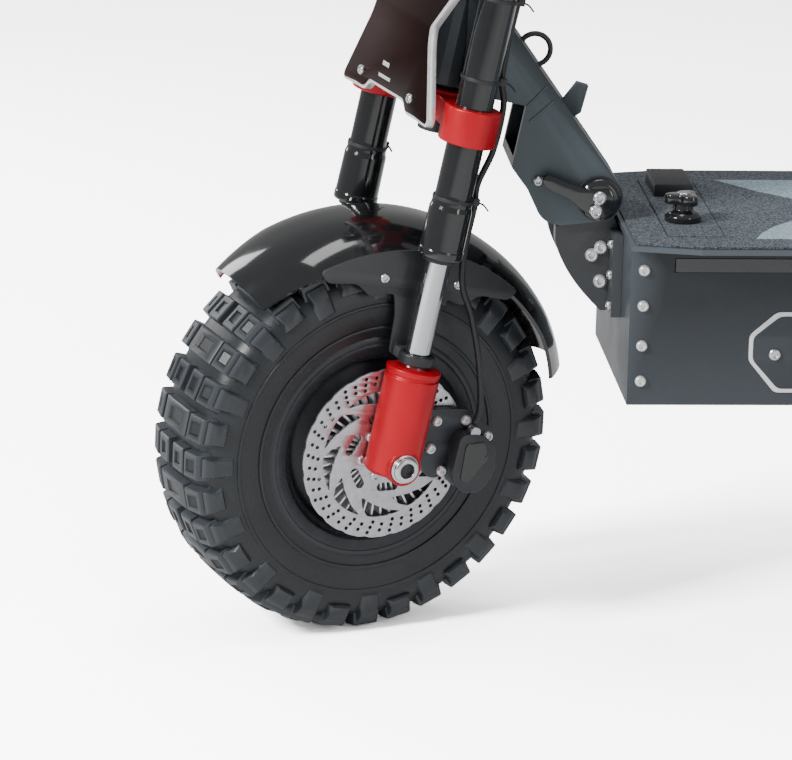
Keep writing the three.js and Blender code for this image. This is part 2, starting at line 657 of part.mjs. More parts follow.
// ------------------------------------------------------ sliding part of fork
function forkLower(side) {
  const y = side * LEG_Y;
  const barrel = rodZ(0, y, LOWER_R, LOWER_BOTTOM, LOWER_TOP, 28);
  const inside = block(-40, 40, ...between(side * 20, side * LEG_FLAT_Y), -60, 200);
  const bore = rodZ(0, y, STANCHION_R + GAP + 0.2, 56, 200);
  const nutPocket = rodY(0, 0, 14.5, ...between(side * 92, side * 130));
  const opening = block(-8, 8, ...between(side * 92, side * 130), -40, 0);
  return build([barrel], [inside, bore, nutPocket, opening, rodY(0, 0, AXLE_R + GAP, -200, 200)]);
}

function addForkLowers() {
  for (const [label, side] of SIDES) {
    add(frontWheel, `stanchion_${label}`, CHROME, rodZ(0, side * LEG_Y, STANCHION_R, 56.3, 390));
    add(frontWheel, `fork_lower_${label}`, RED_ANODISED, forkLower(side));
  }
  const nuts = SIDES.map(([, side]) => rodY(0, 0, 12.4, ...between(side * 92.4, side * 99.8), 6));
  add(frontWheel, 'front_axle', STEEL, build([rodY(0, 0, AXLE_R, -98, 98), ...nuts]));
  const bracket = outline([
    [-27, 44], [-70, 47], [-102, 30], [-96, 14], [-62, 8], [-60, -16], [-45, -16], [-27, 4],
  ]);
  add(frontWheel, 'front_caliper', SATIN_BLACK, caliper(bracket));
  addFrontFender();
}

function addFrontFender() {
  const stay = outline([
    [-44, 150], [-44, 176], [0, 190], [44, 178], [44, 148], [20, 138], [16, 90], [-16, 90], [-20, 138],
  ]);
  const joined = SIDES.flatMap(([, side]) => [
    slab(stay, ...between(side * 60.2, side * 64.2)),
    rodZ(0, side * LEG_Y, 16.5, 90, 101),
    block(-14, 14, ...between(side * 61, side * 78), 90, 101),
  ]);
  const cuts = SIDES.map(([, side]) => rodZ(0, side * LEG_Y, STANCHION_R + GAP + 0.2, 60, 200));
  add(frontWheel, 'front_fender', GLOSS_BLACK, mudguard(40, 155, joined, cuts));
}

// ------------------------------------------------------------ rear suspension
function swingarmBracket() {
  const x0 = BOX_REAR - GAP;
  const cheek = outline([
    [x0, 240], [x0 - 30, 240], [x0 - 50, 256], [x0 - 50, 276], [x0 - 24, 300], [x0 - 24, 345],
    [x0 - 46, 357], [x0 - 46, 374], [x0 - 30, 377], [x0, 377],
  ]);
  const joined = [block(x0 - 6, x0, -97, 97, 240, 377), rodY(...ARM_PIVOT, 8, -97, 97)];
  for (const [, side] of SIDES) {
    joined.push(slab(cheek, ...between(side * 89, side * 95)));
    joined.push(rodY(...SHOCK_TOP, 6, ...between(side * 94, side * (SHOCK_Y + 10))));
  }
  return build(joined);
}

function swingarm() {
  const axle = [REAR_X, REAR_AXLE_Z];
  const joined = [rodY(...ARM_PIVOT, 17, -(ARM_INNER + ARM_T), ARM_INNER + ARM_T)];
  for (const [, side] of SIDES) {
    joined.push(slab(link(ARM_PIVOT, 17, axle, 22), ...between(side * ARM_INNER, side * (ARM_INNER + ARM_T))));
    joined.push(rodY(...SHOCK_FOOT, 15, ...between(side * ARM_INNER, side * (ARM_INNER + ARM_T))));
    joined.push(rodY(...SHOCK_FOOT, 6, ...between(side * 84, side * (SHOCK_Y + 10))));
  }
  return build(joined, [rodY(...ARM_PIVOT, 8.5, -120, 120), rodY(...axle, AXLE_R + GAP, -120, 120)]);
}

// One coil-over shock, drawn down the line between its two eyes.
function addShock(label, side) {
  const [dx, dz] = [SHOCK_FOOT[0] - SHOCK_TOP[0], SHOCK_FOOT[1] - SHOCK_TOP[1]];
  const length = Math.hypot(dx, dz);
  const group = new THREE.Group();
  group.position.set(SHOCK_TOP[0], side * SHOCK_Y, SHOCK_TOP[1]);
  group.rotation.y = Math.atan2(-dx, -dz);
  scooter.add(group);
  const eye = (z) => rodY(0, z, 12, -6.5, 6.5);
  const hole = (z) => rodY(0, z, 6.6, -20, 20);
  const body = [eye(0), rodZ(0, 0, 15, -130, -9, 16), rodZ(0, 0, 24, -26, -20, 16)];
  const bore = rodZ(0, 0, 6.6, -140, -40, 16);
  add(group, `shock_body_${label}`, ALUMINIUM, build(body, [hole(0), bore]));
  const rod = [eye(-length), rodZ(0, 0, 6, -length + 9, -62, 16), rodZ(0, 0, 24, -length + 14, -length + 20, 16)];
  add(group, `shock_rod_${label}`, STEEL, build(rod, [hole(-length)]));
  const [springTop, springFoot] = [-26.3, -length + 20.3];
  const spring = turned(closed([[17.5, springFoot], [23, springFoot], [23, springTop], [17.5, springTop]]), 16);
  add(group, `shock_spring_${label}`, RED_ANODISED, spring);
}

function addRearEnd() {
  add(scooter, 'swingarm_bracket', SATIN_BLACK, swingarmBracket());
  add(scooter, 'swingarm', SATIN_BLACK, swingarm());
  const nuts = SIDES.map(([, side]) => rodY(0, 0, 12.4, ...between(side * 85.4, side * 93), 6));
  add(rearWheel, 'rear_axle', STEEL, build([rodY(0, 0, AXLE_R, -92, 92), ...nuts]));
  const bracket = outline([[-24, 40], [-60, 42], [-96, 26], [-96, -18], [-50, -22], [-24, 0]]);
  const rearCaliper = caliper(bracket).rotateY(deg(58));
  const lug = block(-23, 2, 70.6, ARM_INNER - GAP, 4, 60);
  add(rearWheel, 'rear_caliper', SATIN_BLACK, build([rearCaliper, lug], [rodY(0, 0, AXLE_R + GAP, 60, 90)]));
  const stay = outline([[90, 30], [116, 34], [112, 70], [84, 170], [48, 188], [52, 170], [84, 90]]);
  const stays = SIDES.map(([, side]) => slab(stay, ...between(side * 60.2, side * 64.2)));
  const feet = SIDES.map(([, side]) => block(93, 114, ...between(side * 61, side * 71.7), 33, 51));
  add(rearWheel, 'rear_fender', GLOSS_BLACK, mudguard(35, 168, [...stays, ...feet]));
  for (const [label, side] of SIDES) addShock(label, side);
}

// --------------------------------------------------------------------- stand
function addKickstand() {
  const foot = [STAND_X - 26, STAND_FOOT_Y];
  const leg = smooth([
    [STAND_X, STAND_Y, STAND_Z], [STAND_X - 2, STAND_Y + 2, STAND_Z - 34], [STAND_X - 14, 150, 100],
    [...foot, 5],
  ]);
  const pad = rodZ(...foot, 17, 0, 8, 20);
  const eye = rodY(STAND_X, STAND_Z, 10, 97.4, 112.6);
  add(scooter, 'kickstand', SATIN_BLACK, build([eye, sweep(leg, 7, 8, 5), pad]));
}

addDeck();
addRearRest();
addNeck();
addSteering();
addWheel(frontWheel, 'front', AXLE_R + 0.5);
addForkLowers();
addWheel(rearWheel, 'rear', AXLE_R + 0.5);
addRearEnd();
addKickstand();

export default scooter;
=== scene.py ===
"""Looks of the off-road electric kick scooter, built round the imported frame.

Shapes are drawn in millimetres in a local frame and moved into place by a matrix:
DECK is the scooter's own frame, FORK has its origin at the front axle with Z up the
fork legs and Y along the axle, and REAR has its origin at the rear axle.
"""

import json
import math

import bmesh
import bpy
from mathutils import Matrix, Vector


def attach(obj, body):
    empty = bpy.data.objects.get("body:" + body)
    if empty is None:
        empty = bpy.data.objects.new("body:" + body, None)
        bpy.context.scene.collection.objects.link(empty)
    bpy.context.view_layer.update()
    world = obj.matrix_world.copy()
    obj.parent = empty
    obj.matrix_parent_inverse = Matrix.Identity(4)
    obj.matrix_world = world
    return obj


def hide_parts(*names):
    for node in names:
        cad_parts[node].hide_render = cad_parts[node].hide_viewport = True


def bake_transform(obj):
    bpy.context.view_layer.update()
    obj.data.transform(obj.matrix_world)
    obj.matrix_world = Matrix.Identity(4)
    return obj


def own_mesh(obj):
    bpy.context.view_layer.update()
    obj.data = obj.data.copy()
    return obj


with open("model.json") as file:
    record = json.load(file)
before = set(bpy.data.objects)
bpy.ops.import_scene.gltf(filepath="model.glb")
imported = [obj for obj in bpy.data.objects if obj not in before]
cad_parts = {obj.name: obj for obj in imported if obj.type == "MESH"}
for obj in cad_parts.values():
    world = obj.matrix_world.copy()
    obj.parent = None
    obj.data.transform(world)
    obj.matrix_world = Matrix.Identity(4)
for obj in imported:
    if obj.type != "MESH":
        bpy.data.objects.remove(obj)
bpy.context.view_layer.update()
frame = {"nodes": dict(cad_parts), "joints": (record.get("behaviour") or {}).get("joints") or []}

# ------------------------------------------------------------------ dimensions
MM = 0.001
TAU = 2 * math.pi
SIDES = (("left", 1), ("right", -1))

FRONT_X = 554
REAR_X = -546
BOX_FRONT = 319
BOX_REAR = -301
BOX_HALF = 121
MAT_TOP = 384.9
PIVOT = (FRONT_X - 213.7, 403.4)
LEG_Y = 85
CROWN_S = 310
UPPER_CROWN_S = 463
BAR_S = 1052
STEERING_OFFSET = 14
ROTOR_Y = 66
ARM_PIVOT = (BOX_REAR - 30, 262)
SHOCK_TOP = (BOX_REAR - 33, 365)
SHOCK_FOOT = (REAR_X + 70, 205)
SHOCK_Y = 121


def joint(name):
    return next(j for j in frame["joints"] if j["name"] == name)


def basis(origin, x, y, z):
    matrix = Matrix((x, y, z)).transposed().to_4x4()
    matrix.translation = origin
    return matrix @ Matrix.Scale(MM, 4)


wheel_joint = joint("front_wheel_spin")
up_leg = Vector(joint("fork_travel")["axis"]).normalized()
along_axle = Vector(wheel_joint["axis"]).normalized()
FORK = basis(Vector(wheel_joint["pos_m"]), along_axle.cross(up_leg), along_axle, up_leg)
DECK = Matrix.Scale(MM, 4)
REAR = basis(Vector(joint("rear_wheel_spin")["pos_m"]), *Matrix.Identity(3))


# ---------------------------------------------------------------------- camera
CAMERA_ANGLES = (4.483, 15.448, 1.325)
CAMERA_PLACE = (0.8289, 4.0314, 1.3413)
CAMERA_LENS = 211.8


def place_camera():
    """Yaw, downward tilt and roll in degrees, and a place in metres."""
    yaw, lift, roll = (math.radians(a) for a in CAMERA_ANGLES)
    right = Vector((-math.cos(yaw), math.sin(yaw), 0))
    ahead = Vector((-math.sin(yaw) * math.cos(lift), -math.cos(yaw) * math.cos(lift), -math.sin(lift)))
    up = right.cross(ahead)
    cos_roll, sin_roll = math.cos(roll), math.sin(roll)
    right, up = right * cos_roll + up * sin_roll, up * cos_roll - right * sin_roll
    data = bpy.data.cameras.new("camera")
    data.lens = CAMERA_LENS
    data.sensor_width = 36
    data.clip_end = 50
    camera = bpy.data.objects.new("camera", data)
    matrix = Matrix((right, up, -ahead)).transposed().to_4x4()
    matrix.translation = CAMERA_PLACE
    camera.matrix_world = matrix
    bpy.context.collection.objects.link(camera)
    bpy.context.scene.camera = camera


place_camera()


# ------------------------------------------------------------------- materials
COAT_ROUGHNESS = 0.06


def material(name, color, rough=0.5, metal=0.0, spread=0.12, scale=60.0, bump=0.05, bump_scale=None,
             rough_spread=0.08, coat=0.0, stretch=(1, 1, 1), edge_tint=None):
    """A surface whose colour, roughness and relief all vary a little, from noise in object space."""
    mat = bpy.data.materials.new(name)
    mat.use_nodes = True
    tree = mat.node_tree
    nodes, links = tree.nodes, tree.links
    shader = nodes["Principled BSDF"]
    shader.inputs["Metallic"].default_value = metal
    shader.inputs["Coat Weight"].default_value = coat
    shader.inputs["Coat Roughness"].default_value = COAT_ROUGHNESS
    where = nodes.new("ShaderNodeTexCoord")
    mapping = nodes.new("ShaderNodeMapping")
    mapping.inputs["Scale"].default_value = stretch
    links.new(where.outputs["Object"], mapping.inputs["Vector"])
    noise = nodes.new("ShaderNodeTexNoise")
    noise.inputs["Scale"].default_value = scale
    noise.inputs["Detail"].default_value = 6
    links.new(mapping.outputs["Vector"], noise.inputs["Vector"])
    ramp = nodes.new("ShaderNodeValToRGB")
    ramp.color_ramp.elements[0].position = 0.3
    ramp.color_ramp.elements[1].position = 0.7
    ramp.color_ramp.elements[0].color = (*[c * (1 - spread) for c in color], 1)
    ramp.color_ramp.elements[1].color = (*[min(1, c * (1 + spread)) for c in color], 1)
    links.new(noise.outputs["Fac"], ramp.inputs["Fac"])
    last = ramp.outputs["Color"]
    # Optional lighter colour along sharp convex edges, driven by the mesh's pointiness.
    if edge_tint is not None:
        last = add_edge_tint(nodes, links, last, edge_tint)
    links.new(last, shader.inputs["Base Color"])
    level = nodes.new("ShaderNodeMapRange")
    level.inputs["To Min"].default_value = max(0.02, rough - rough_spread)
    level.inputs["To Max"].default_value = min(1, rough + rough_spread)
    links.new(noise.outputs["Fac"], level.inputs["Value"])
    links.new(level.outputs["Result"], shader.inputs["Roughness"])
    grain = nodes.new("ShaderNodeTexNoise")
    grain.inputs["Scale"].default_value = bump_scale or scale * 8
    grain.inputs["Detail"].default_value = 4
    links.new(mapping.outputs["Vector"], grain.inputs["Vector"])
    relief = nodes.new("ShaderNodeBump")
    relief.inputs["Strength"].default_value = bump
    relief.inputs["Distance"].default_value = 0.001
    links.new(grain.outputs["Fac"], relief.inputs["Height"])
    links.new(relief.outputs["Normal"], shader.inputs["Normal"])
    return mat


def add_edge_tint(nodes, links, color_socket, edge_tint):
    """Makes the colour lighter along sharp convex edges, where the mesh's pointiness is high."""
    geometry = nodes.new("ShaderNodeNewGeometry")
    edge = nodes.new("ShaderNodeMapRange")
    edge.inputs["From Min"].default_value = 0.52
    edge.inputs["From Max"].default_value = 0.6
    links.new(geometry.outputs["Pointiness"], edge.inputs["Value"])
    mix = nodes.new("ShaderNodeMix")
    mix.data_type = "RGBA"
    mix.inputs["B"].default_value = (*edge_tint, 1)
    links.new(edge.outputs["Result"], mix.inputs["Factor"])
    links.new(color_socket, mix.inputs["A"])
    return mix.outputs["Result"]


def speckled(name, dark, light, cells=760.0):
    """Grit sheet: bright and dark grains over a grey ground, standing proud."""
    mat = material(name, dark, rough=0.9, spread=0.2, scale=90, bump=0.0)
    nodes, links = mat.node_tree.nodes, mat.node_tree.links
    shader = nodes["Principled BSDF"]
    where = nodes.new("ShaderNodeTexCoord")
    grains = nodes.new("ShaderNodeTexVoronoi")
    grains.inputs["Scale"].default_value = cells
    links.new(where.outputs["Object"], grains.inputs["Vector"])
    pick = nodes.new("ShaderNodeValToRGB")
    pick.color_ramp.interpolation = "LINEAR"
    pick.color_ramp.elements[0].position = 0.25
    pick.color_ramp.elements[1].position = 0.85
    pick.color_ramp.elements[0].color = (*dark, 1)
    pick.color_ramp.elements[1].color = (*light, 1)
    links.new(grains.outputs["Color"], pick.inputs["Fac"])
    links.new(pick.outputs["Color"], shader.inputs["Base Color"])
    relief = nodes.new("ShaderNodeBump")
    relief.inputs["Strength"].default_value = 0.5
    relief.inputs["Distance"].default_value = 0.0006
    links.new(grains.outputs["Distance"], relief.inputs["Height"])
    links.new(relief.outputs["Normal"], shader.inputs["Normal"])
    return mat


GLOSS_BLACK = material("gloss_black", (0.008, 0.009, 0.01), 0.12, 0.0, 0.3, 12, 0.01, coat=0.6,
                       rough_spread=0.05)
SATIN_BLACK = material("satin_black", (0.016, 0.018, 0.021), 0.38, 0.0, 0.2, 30, 0.06,
                       edge_tint=(0.05, 0.055, 0.06))
CAST_BLACK = material("cast_black", (0.022, 0.025, 0.03), 0.45, 0.3, 0.25, 80, 0.2, edge_tint=(0.07, 0.075, 0.08))
BOX_PAINT = material("box_paint", (0.0135, 0.017, 0.021), 0.42, 0.1, 0.12, 25, 0.12, 900,
                     edge_tint=(0.07, 0.085, 0.1))
NECK_PAINT = material("neck_paint", (0.019, 0.0265, 0.032), 0.40, 0.2, 0.1, 18, 0.05, 700,
                      edge_tint=(0.075, 0.098, 0.112))
RED = material("red_anodised", (0.50, 0.0005, 0.010), 0.36, 0.35, 0.12, 40, 0.03, stretch=(1, 1, 0.3))
CHROME = material("chrome", (0.56, 0.57, 0.59), 0.09, 1.0, 0.04, 30, 0.0, rough_spread=0.03)
STEEL = material("steel", (0.62, 0.63, 0.65), 0.28, 1.0, 0.12, 90, 0.05)
BRIGHT = material("bright_edge", (0.80, 0.80, 0.82), 0.3, 0.6, 0.06, 120, 0.03)
ROTOR = material("rotor_steel", (0.50, 0.50, 0.53), 0.30, 0.9, 0.1, 200, 0.05, rough_spread=0.1)
ALLOY = material("alloy", (0.42, 0.44, 0.47), 0.32, 0.95, 0.12, 90, 0.06)
TYRE = material("tyre_rubber", (0.0105, 0.0135, 0.0165), 0.40, 0.0, 0.3, 26, 0.16, 620,
                edge_tint=(0.045, 0.052, 0.06))
RUBBER = material("hose_rubber", (0.012, 0.013, 0.014), 0.45, 0.0, 0.2, 80, 0.1)
PLASTIC = material("moulded_black", (0.016, 0.017, 0.02), 0.5, 0.0, 0.2, 90, 0.15, 1400)
GRIT = speckled("grit_sheet", (0.028, 0.036, 0.045), (0.135, 0.16, 0.185))
DECAL = speckled("grit_pale", (0.17, 0.24, 0.28), (0.36, 0.46, 0.52))
PLATE_FACE = material("plate_face", (0.010, 0.0022, 0.0018), 0.30, 0.0, 0.4, 10, 0.0, rough_spread=0.04)
PLATE_FACE.node_tree.nodes["Principled BSDF"].inputs["Specular IOR Level"].default_value = 0.12
LENS = material("clear_lens", (0.55, 0.62, 0.66), 0.12, 0.0, 0.1, 60, 0.02, coat=0.5)
STRIP = material("dark_lens", (0.02, 0.022, 0.026), 0.2, 0.0, 0.2, 60, 0.02, coat=0.5)
RED_LENS = material("red_lens", (0.35, 0.006, 0.01), 0.14, 0.0, 0.15, 60, 0.02, coat=0.5)
WRAP = material("cell_wrap", (0.03, 0.1, 0.3), 0.5, 0.0, 0.15, 60, 0.05)


# --------------------------------------------------------------- mesh helpers
def new_piece(name, bm, place, mat, body, stands_for=(), sharp=32):
    """Turns a bmesh drawn in millimetres into a finished piece that rides on a body."""
    bmesh.ops.remove_doubles(bm, verts=bm.verts, dist=0.002)
    bmesh.ops.recalc_face_normals(bm, faces=bm.faces)
    mesh = bpy.data.meshes.new(name)
    bm.to_mesh(mesh)
    bm.free()
    mesh.transform(place)
    mesh.shade_smooth()
    mesh.set_sharp_from_angle(angle=math.radians(sharp))
    mesh.materials.append(mat)
    obj = bpy.data.objects.new(name, mesh)
    bpy.context.collection.objects.link(obj)
    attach(obj, body)
    if stands_for:
        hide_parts(*stands_for)
    return obj


def join(*parts):
    """Merges several bmeshes into the first one."""
    first = parts[0]
    for part in parts[1:]:
        mesh = bpy.data.meshes.new("join")
        part.to_mesh(mesh)
        part.free()
        first.from_mesh(mesh)
        bpy.data.meshes.remove(mesh)
    return first


def moved(bm, *matrices):
    for matrix in matrices:
        bmesh.ops.transform(bm, matrix=matrix, verts=bm.verts)
    return bm


def mirrored(bm, side):
    return bm if side > 0 else moved(bm, Matrix.Diagonal((1, -1, 1, 1)))


def shift(x, y, z):
    return Matrix.Translation((x, y, z))


def turn(angle, axis):
    return Matrix.Rotation(math.radians(angle), 4, axis)


def facing(side):
    """Turns a part drawn along +Y round for the right side."""
    return turn(180, "Z") if side < 0 else Matrix()


def copies(draw, matrices):
    return join(*[moved(draw(), matrix) for matrix in matrices])


def arc(cx, cy, r, start, end, steps=16):
    """Points on an arc, with angles in degrees."""
    angles = [math.radians(start + (end - start) * i / steps) for i in range(steps + 1)]
    return [(cx + r * math.cos(a), cy + r * math.sin(a)) for a in angles]


def ring(cx, cy, r, steps=32):
    return arc(cx, cy, r, 0, 360, steps)[:-1]


def rounded(points, radius, steps=5):
    """The outline with every corner rounded off by a curve."""
    out = []
    count = len(points)
    for i, corner in enumerate(points):
        here = Vector(corner)
        before, after = Vector(points[i - 1]), Vector(points[(i + 1) % count])
        cut = min(radius, (before - here).length * 0.45, (after - here).length * 0.45)
        a = here + (before - here).normalized() * cut
        b = here + (after - here).normalized() * cut
        for k in range(steps + 1):
            t = k / steps
            out.append(tuple(a * (1 - t) ** 2 + here * 2 * t * (1 - t) + b * t * t))
    return out


def flat(loops, low, high, bevel=0.6):
    """A plate from an outline and its holes, drawn in X and Z and reaching from low to high in Y."""
    curve = bpy.data.curves.new("flat", "CURVE")
    curve.dimensions = "2D"
    curve.fill_mode = "BOTH"
    curve.extrude = (high - low) / 2 - bevel
    curve.bevel_depth = bevel
    curve.bevel_resolution = 1
    curve.offset = -bevel
    for loop in loops:
        spline = curve.splines.new("POLY")
        spline.points.add(len(loop) - 1)
        for point, (u, v) in zip(spline.points, loop):
            point.co = (u, v, 0, 1)
        spline.use_cyclic_u = True
    holder = bpy.data.objects.new("flat", curve)
    mesh = bpy.data.meshes.new_from_object(holder)
    bm = bmesh.new()
    bm.from_mesh(mesh)
    bpy.data.objects.remove(holder)
    bpy.data.curves.remove(curve)
    bpy.data.meshes.remove(mesh)
    bmesh.ops.remove_doubles(bm, verts=bm.verts, dist=0.001)
    upright = Matrix(((1, 0, 0, 0), (0, 0, 1, (low + high) / 2), (0, 1, 0, 0), (0, 0, 0, 1)))
    return moved(bm, upright)


def sheet_z(loops, low, high, bevel=0.6):
    """The same, drawn in X and Y and reaching from low to high in Z."""
    swap = Matrix(((1, 0, 0, 0), (0, 0, 1, 0), (0, 1, 0, 0), (0, 0, 0, 1)))
    return moved(flat(loops, low, high, bevel), swap)


def sheet_x(loops, low, high, bevel=0.6):
    """The same, drawn in Y and Z and reaching from low to high in X."""
    swap = Matrix(((0, 1, 0, 0), (1, 0, 0, 0), (0, 0, 1, 0), (0, 0, 0, 1)))
    return moved(flat(loops, low, high, bevel), swap)


def lathe(profile, steps=64, axis="Z", closed=False):
    """A turned shape from (radius, height) points. Open profiles end on the axis or are capped."""
    bm = bmesh.new()
    rings = []
    for r, h in profile:
        if r < 1e-6:
            rings.append([bm.verts.new((0, 0, h))])
        else:
            rings.append([bm.verts.new((r * math.cos(TAU * i / steps), r * math.sin(TAU * i / steps), h))
                          for i in range(steps)])
    pairs = list(zip(rings, rings[1:]))
    if closed:
        pairs.append((rings[-1], rings[0]))
    for low, high in pairs:
        for i in range(steps):
            k = (i + 1) % steps
            if len(low) == 1 and len(high) > 1:
                bm.faces.new((low[0], high[i], high[k]))
            elif len(high) == 1 and len(low) > 1:
                bm.faces.new((low[i], low[k], high[0]))
            elif len(low) > 1:
                bm.faces.new((low[i], low[k], high[k], high[i]))
    if axis == "Y":
        moved(bm, turn(-90, "X"))
    if axis == "X":
        moved(bm, turn(90, "Y"))
    return bm


def soft(profile, radius=1.0, closed=False):
    """A turned profile with its corners rounded, except where it meets the axis."""
    if closed:
        return rounded(profile, radius, 3)
    inner = rounded(profile, radius, 3)
    per = 4
    return [profile[0], *inner[per:-per], profile[-1]]


def bar(x0, x1, y0, y1, z0, z1, bevel=1.5, steps=2):
    bm = bmesh.new()
    bmesh.ops.create_cube(bm, size=1)
    middle = shift((x0 + x1) / 2, (y0 + y1) / 2, (z0 + z1) / 2)
    moved(bm, Matrix.Diagonal((x1 - x0, y1 - y0, z1 - z0, 1)), middle)
    if bevel:
        bmesh.ops.bevel(bm, geom=bm.edges[:], offset=bevel, segments=steps, affect="EDGES", profile=0.5)
    return bm


def smooth_path(points, per=8):
    """Catmull-Rom points through the given ones."""
    pts = [Vector(p) for p in points]
    pts = [pts[0] * 2 - pts[1], *pts, pts[-1] * 2 - pts[-2]]
    out = []
    for a, b, c, d in zip(pts, pts[1:], pts[2:], pts[3:]):
        for k in range(per):
            t = k / per
            square = (2 * a - 5 * b + 4 * c - d) * t ** 2
            cube = (3 * b - a - 3 * c + d) * t ** 3
            out.append(0.5 * ((2 * b) + (c - a) * t + square + cube))
    out.append(pts[-2])
    return out


def tube(path, radius, sides=14, loop=False):
    """A round tube along a path. The radius is a number, or a function of the place along it from 0 to 1."""
    bm = bmesh.new()
    pts = [Vector(p) for p in path]
    count = len(pts)
    side = None
    rings = []
    for i, p in enumerate(pts):
        before = pts[i - 1] if i or loop else p
        after = pts[(i + 1) % count] if i < count - 1 or loop else p
        ahead = (after - before).normalized()
        if side is None:
            side = ahead.orthogonal().normalized()
        side = (side - ahead * side.dot(ahead)).normalized()
        other = ahead.cross(side)
        r = radius(i / (count - 1)) if callable(radius) else radius
        angles = [TAU * k / sides for k in range(sides)]
        rings.append([bm.verts.new(p + (side * math.cos(a) + other * math.sin(a)) * r) for a in angles])
    pairs = list(zip(rings, rings[1:]))
    if loop:
        pairs.append((rings[-1], rings[0]))
    for low, high in pairs:
        for k in range(sides):
            n = (k + 1) % sides
            bm.faces.new((low[k], low[n], high[n], high[k]))
    if not loop:
        bm.faces.new(rings[0][::-1])
        bm.faces.new(rings[-1])
    return bm


def bolt(r=5.0, h=4.0):
    """A button-head screw along +Y with a hexagon socket, its seat at the origin."""
    profile = [(0, -2), (r, -2), (r, h * 0.55), (r * 0.72, h), (r * 0.5, h), (r * 0.46, h * 0.35),
               (0, h * 0.35)]
    return lathe(soft(profile, 0.5), 24, "Y")


def hex_nut(r=7.0, h=5.0):
    """A hexagon nut along +Y with a threaded end showing."""
    nut = flat([ring(0, 0, r, 6)], 0, h, 0.5)
    end = lathe(soft([(0, 0), (r * 0.55, 0), (r * 0.55, h + 2), (0, h + 2)], 0.5), 20, "Y")
    return join(nut, end)


def bolts(places, r=5.0, h=4.0, draw=bolt):
    """Screws on faces that look along +Y or -Y, one for each (x, y, z, side)."""
    return copies(lambda: draw(r, h), [shift(x, y, z) @ facing(side) for x, y, z, side in places])


# -------------------------------------------------------------- light and floor
def light(name, place, aim, size, power, color=(1, 1, 1)):
    data = bpy.data.lights.new(name, "AREA")
    data.shape = "RECTANGLE"
    data.size, data.size_y = size
    data.energy = power
    data.color = color
    lamp = bpy.data.objects.new(name, data)
    lamp.location = place
    lamp.rotation_euler = (Vector(aim) - Vector(place)).to_track_quat("-Z", "Y").to_euler()
    bpy.context.collection.objects.link(lamp)


FLOOR_SEEN = 5.5
FLOOR_COLOR = 0.86
WORLD_SEEN = 14.0
WORLD_LIGHT = 0.42


def studio():
    """A white floor and world, both brighter to the camera than as a source of light."""
    white = material("studio_white", (FLOOR_COLOR,) * 3, 0.85, 0.0, 0.01, 3, 0.0)
    nodes, links = white.node_tree.nodes, white.node_tree.links
    seen = nodes.new("ShaderNodeLightPath")
    bright = nodes.new("ShaderNodeBsdfDiffuse")
    bright.inputs["Color"].default_value = (*(FLOOR_SEEN,) * 3, 1)
    mix = nodes.new("ShaderNodeMixShader")
    links.new(seen.outputs["Is Camera Ray"], mix.inputs["Fac"])
    links.new(nodes["Principled BSDF"].outputs["BSDF"], mix.inputs[1])
    links.new(bright.outputs["BSDF"], mix.inputs[2])
    links.new(mix.outputs["Shader"], nodes["Material Output"].inputs["Surface"])
    bm = bmesh.new()
    bmesh.ops.create_grid(bm, x_segments=2, y_segments=2, size=14)
    mesh = bpy.data.meshes.new("floor")
    bm.to_mesh(mesh)
    bm.free()
    mesh.materials.append(white)
    floor = bpy.data.objects.new("floor", mesh)
    bpy.context.collection.objects.link(floor)
    world = bpy.data.worlds.new("world")
    world.use_nodes = True
    nodes, links = world.node_tree.nodes, world.node_tree.links
    nodes["Background"].inputs["Color"].default_value = (1, 1, 1, 1)
    seen = nodes.new("ShaderNodeLightPath")
    level = nodes.new("ShaderNodeMapRange")
    level.inputs["To Min"].default_value = WORLD_LIGHT
    level.inputs["To Max"].default_value = WORLD_SEEN
    links.new(seen.outputs["Is Camera Ray"], level.inputs["Value"])
    links.new(level.outputs["Result"], nodes["Background"].inputs["Strength"])
    bpy.context.scene.world = world
    aim = (FRONT_X * MM, 0, 0.3)
    light("key", (3.5, 1.9, 2.7), aim, (0.9, 0.9), 225)
    light("side", (-1.6, 2.6, 1.2), aim, (0.5, 2.0), 16)
    light("top", (0.3, 0.2, 3.2), (FRONT_X * MM, 0, 0), (2.0, 0.7), 26)
    light("rim", (2.2, -2.0, 1.6), aim, (0.6, 1.8), 26)


studio()


# ------------------------------------------------------------------------ tyres
TREAD_R = 178
CARCASS_R = 170.5
PITCHES = 16


def tread_block(points, top, angle, y_of=lambda y: 0.0):
    """A knob whose outline is in (along, across) millimetres, standing on the carcass at an angle."""
    bm = bmesh.new()
    count = len(points)
    cu = sum(p[0] for p in points) / count
    cv = sum(p[1] for p in points) / count
    outside = ((CARCASS_R - 6, 1.10), (top - 1.2, 1.0), (top, 0.90))
    recess = ((top, 0.5), (top - 1.6, 0.42))
    verts = []
    for height, spread in (*outside, *recess):
        verts.append([bm.verts.new((cu + (u - cu) * spread, cv + (v - cv) * spread, height - y_of(v)))
                      for u, v in points])
    bm.faces.new(verts[0][::-1])
    for low, high in zip(verts, verts[1:]):
        for i in range(count):
            k = (i + 1) % count
            bm.faces.new((low[i], low[k], high[k], high[i]))
    bm.faces.new(verts[-1])
    return moved(bm, turn(angle, "Y"))


def crown_drop(y):
    """How far the carcass falls away from its crown at a distance across."""
    over = max(0.0, abs(y) - 30)
    return 0.0011 * y * y + 0.011 * over * over


def block(u0, u1, v0, v1):
    return [(u0, v0), (u1, v0), (u1, v1), (u0, v1)]


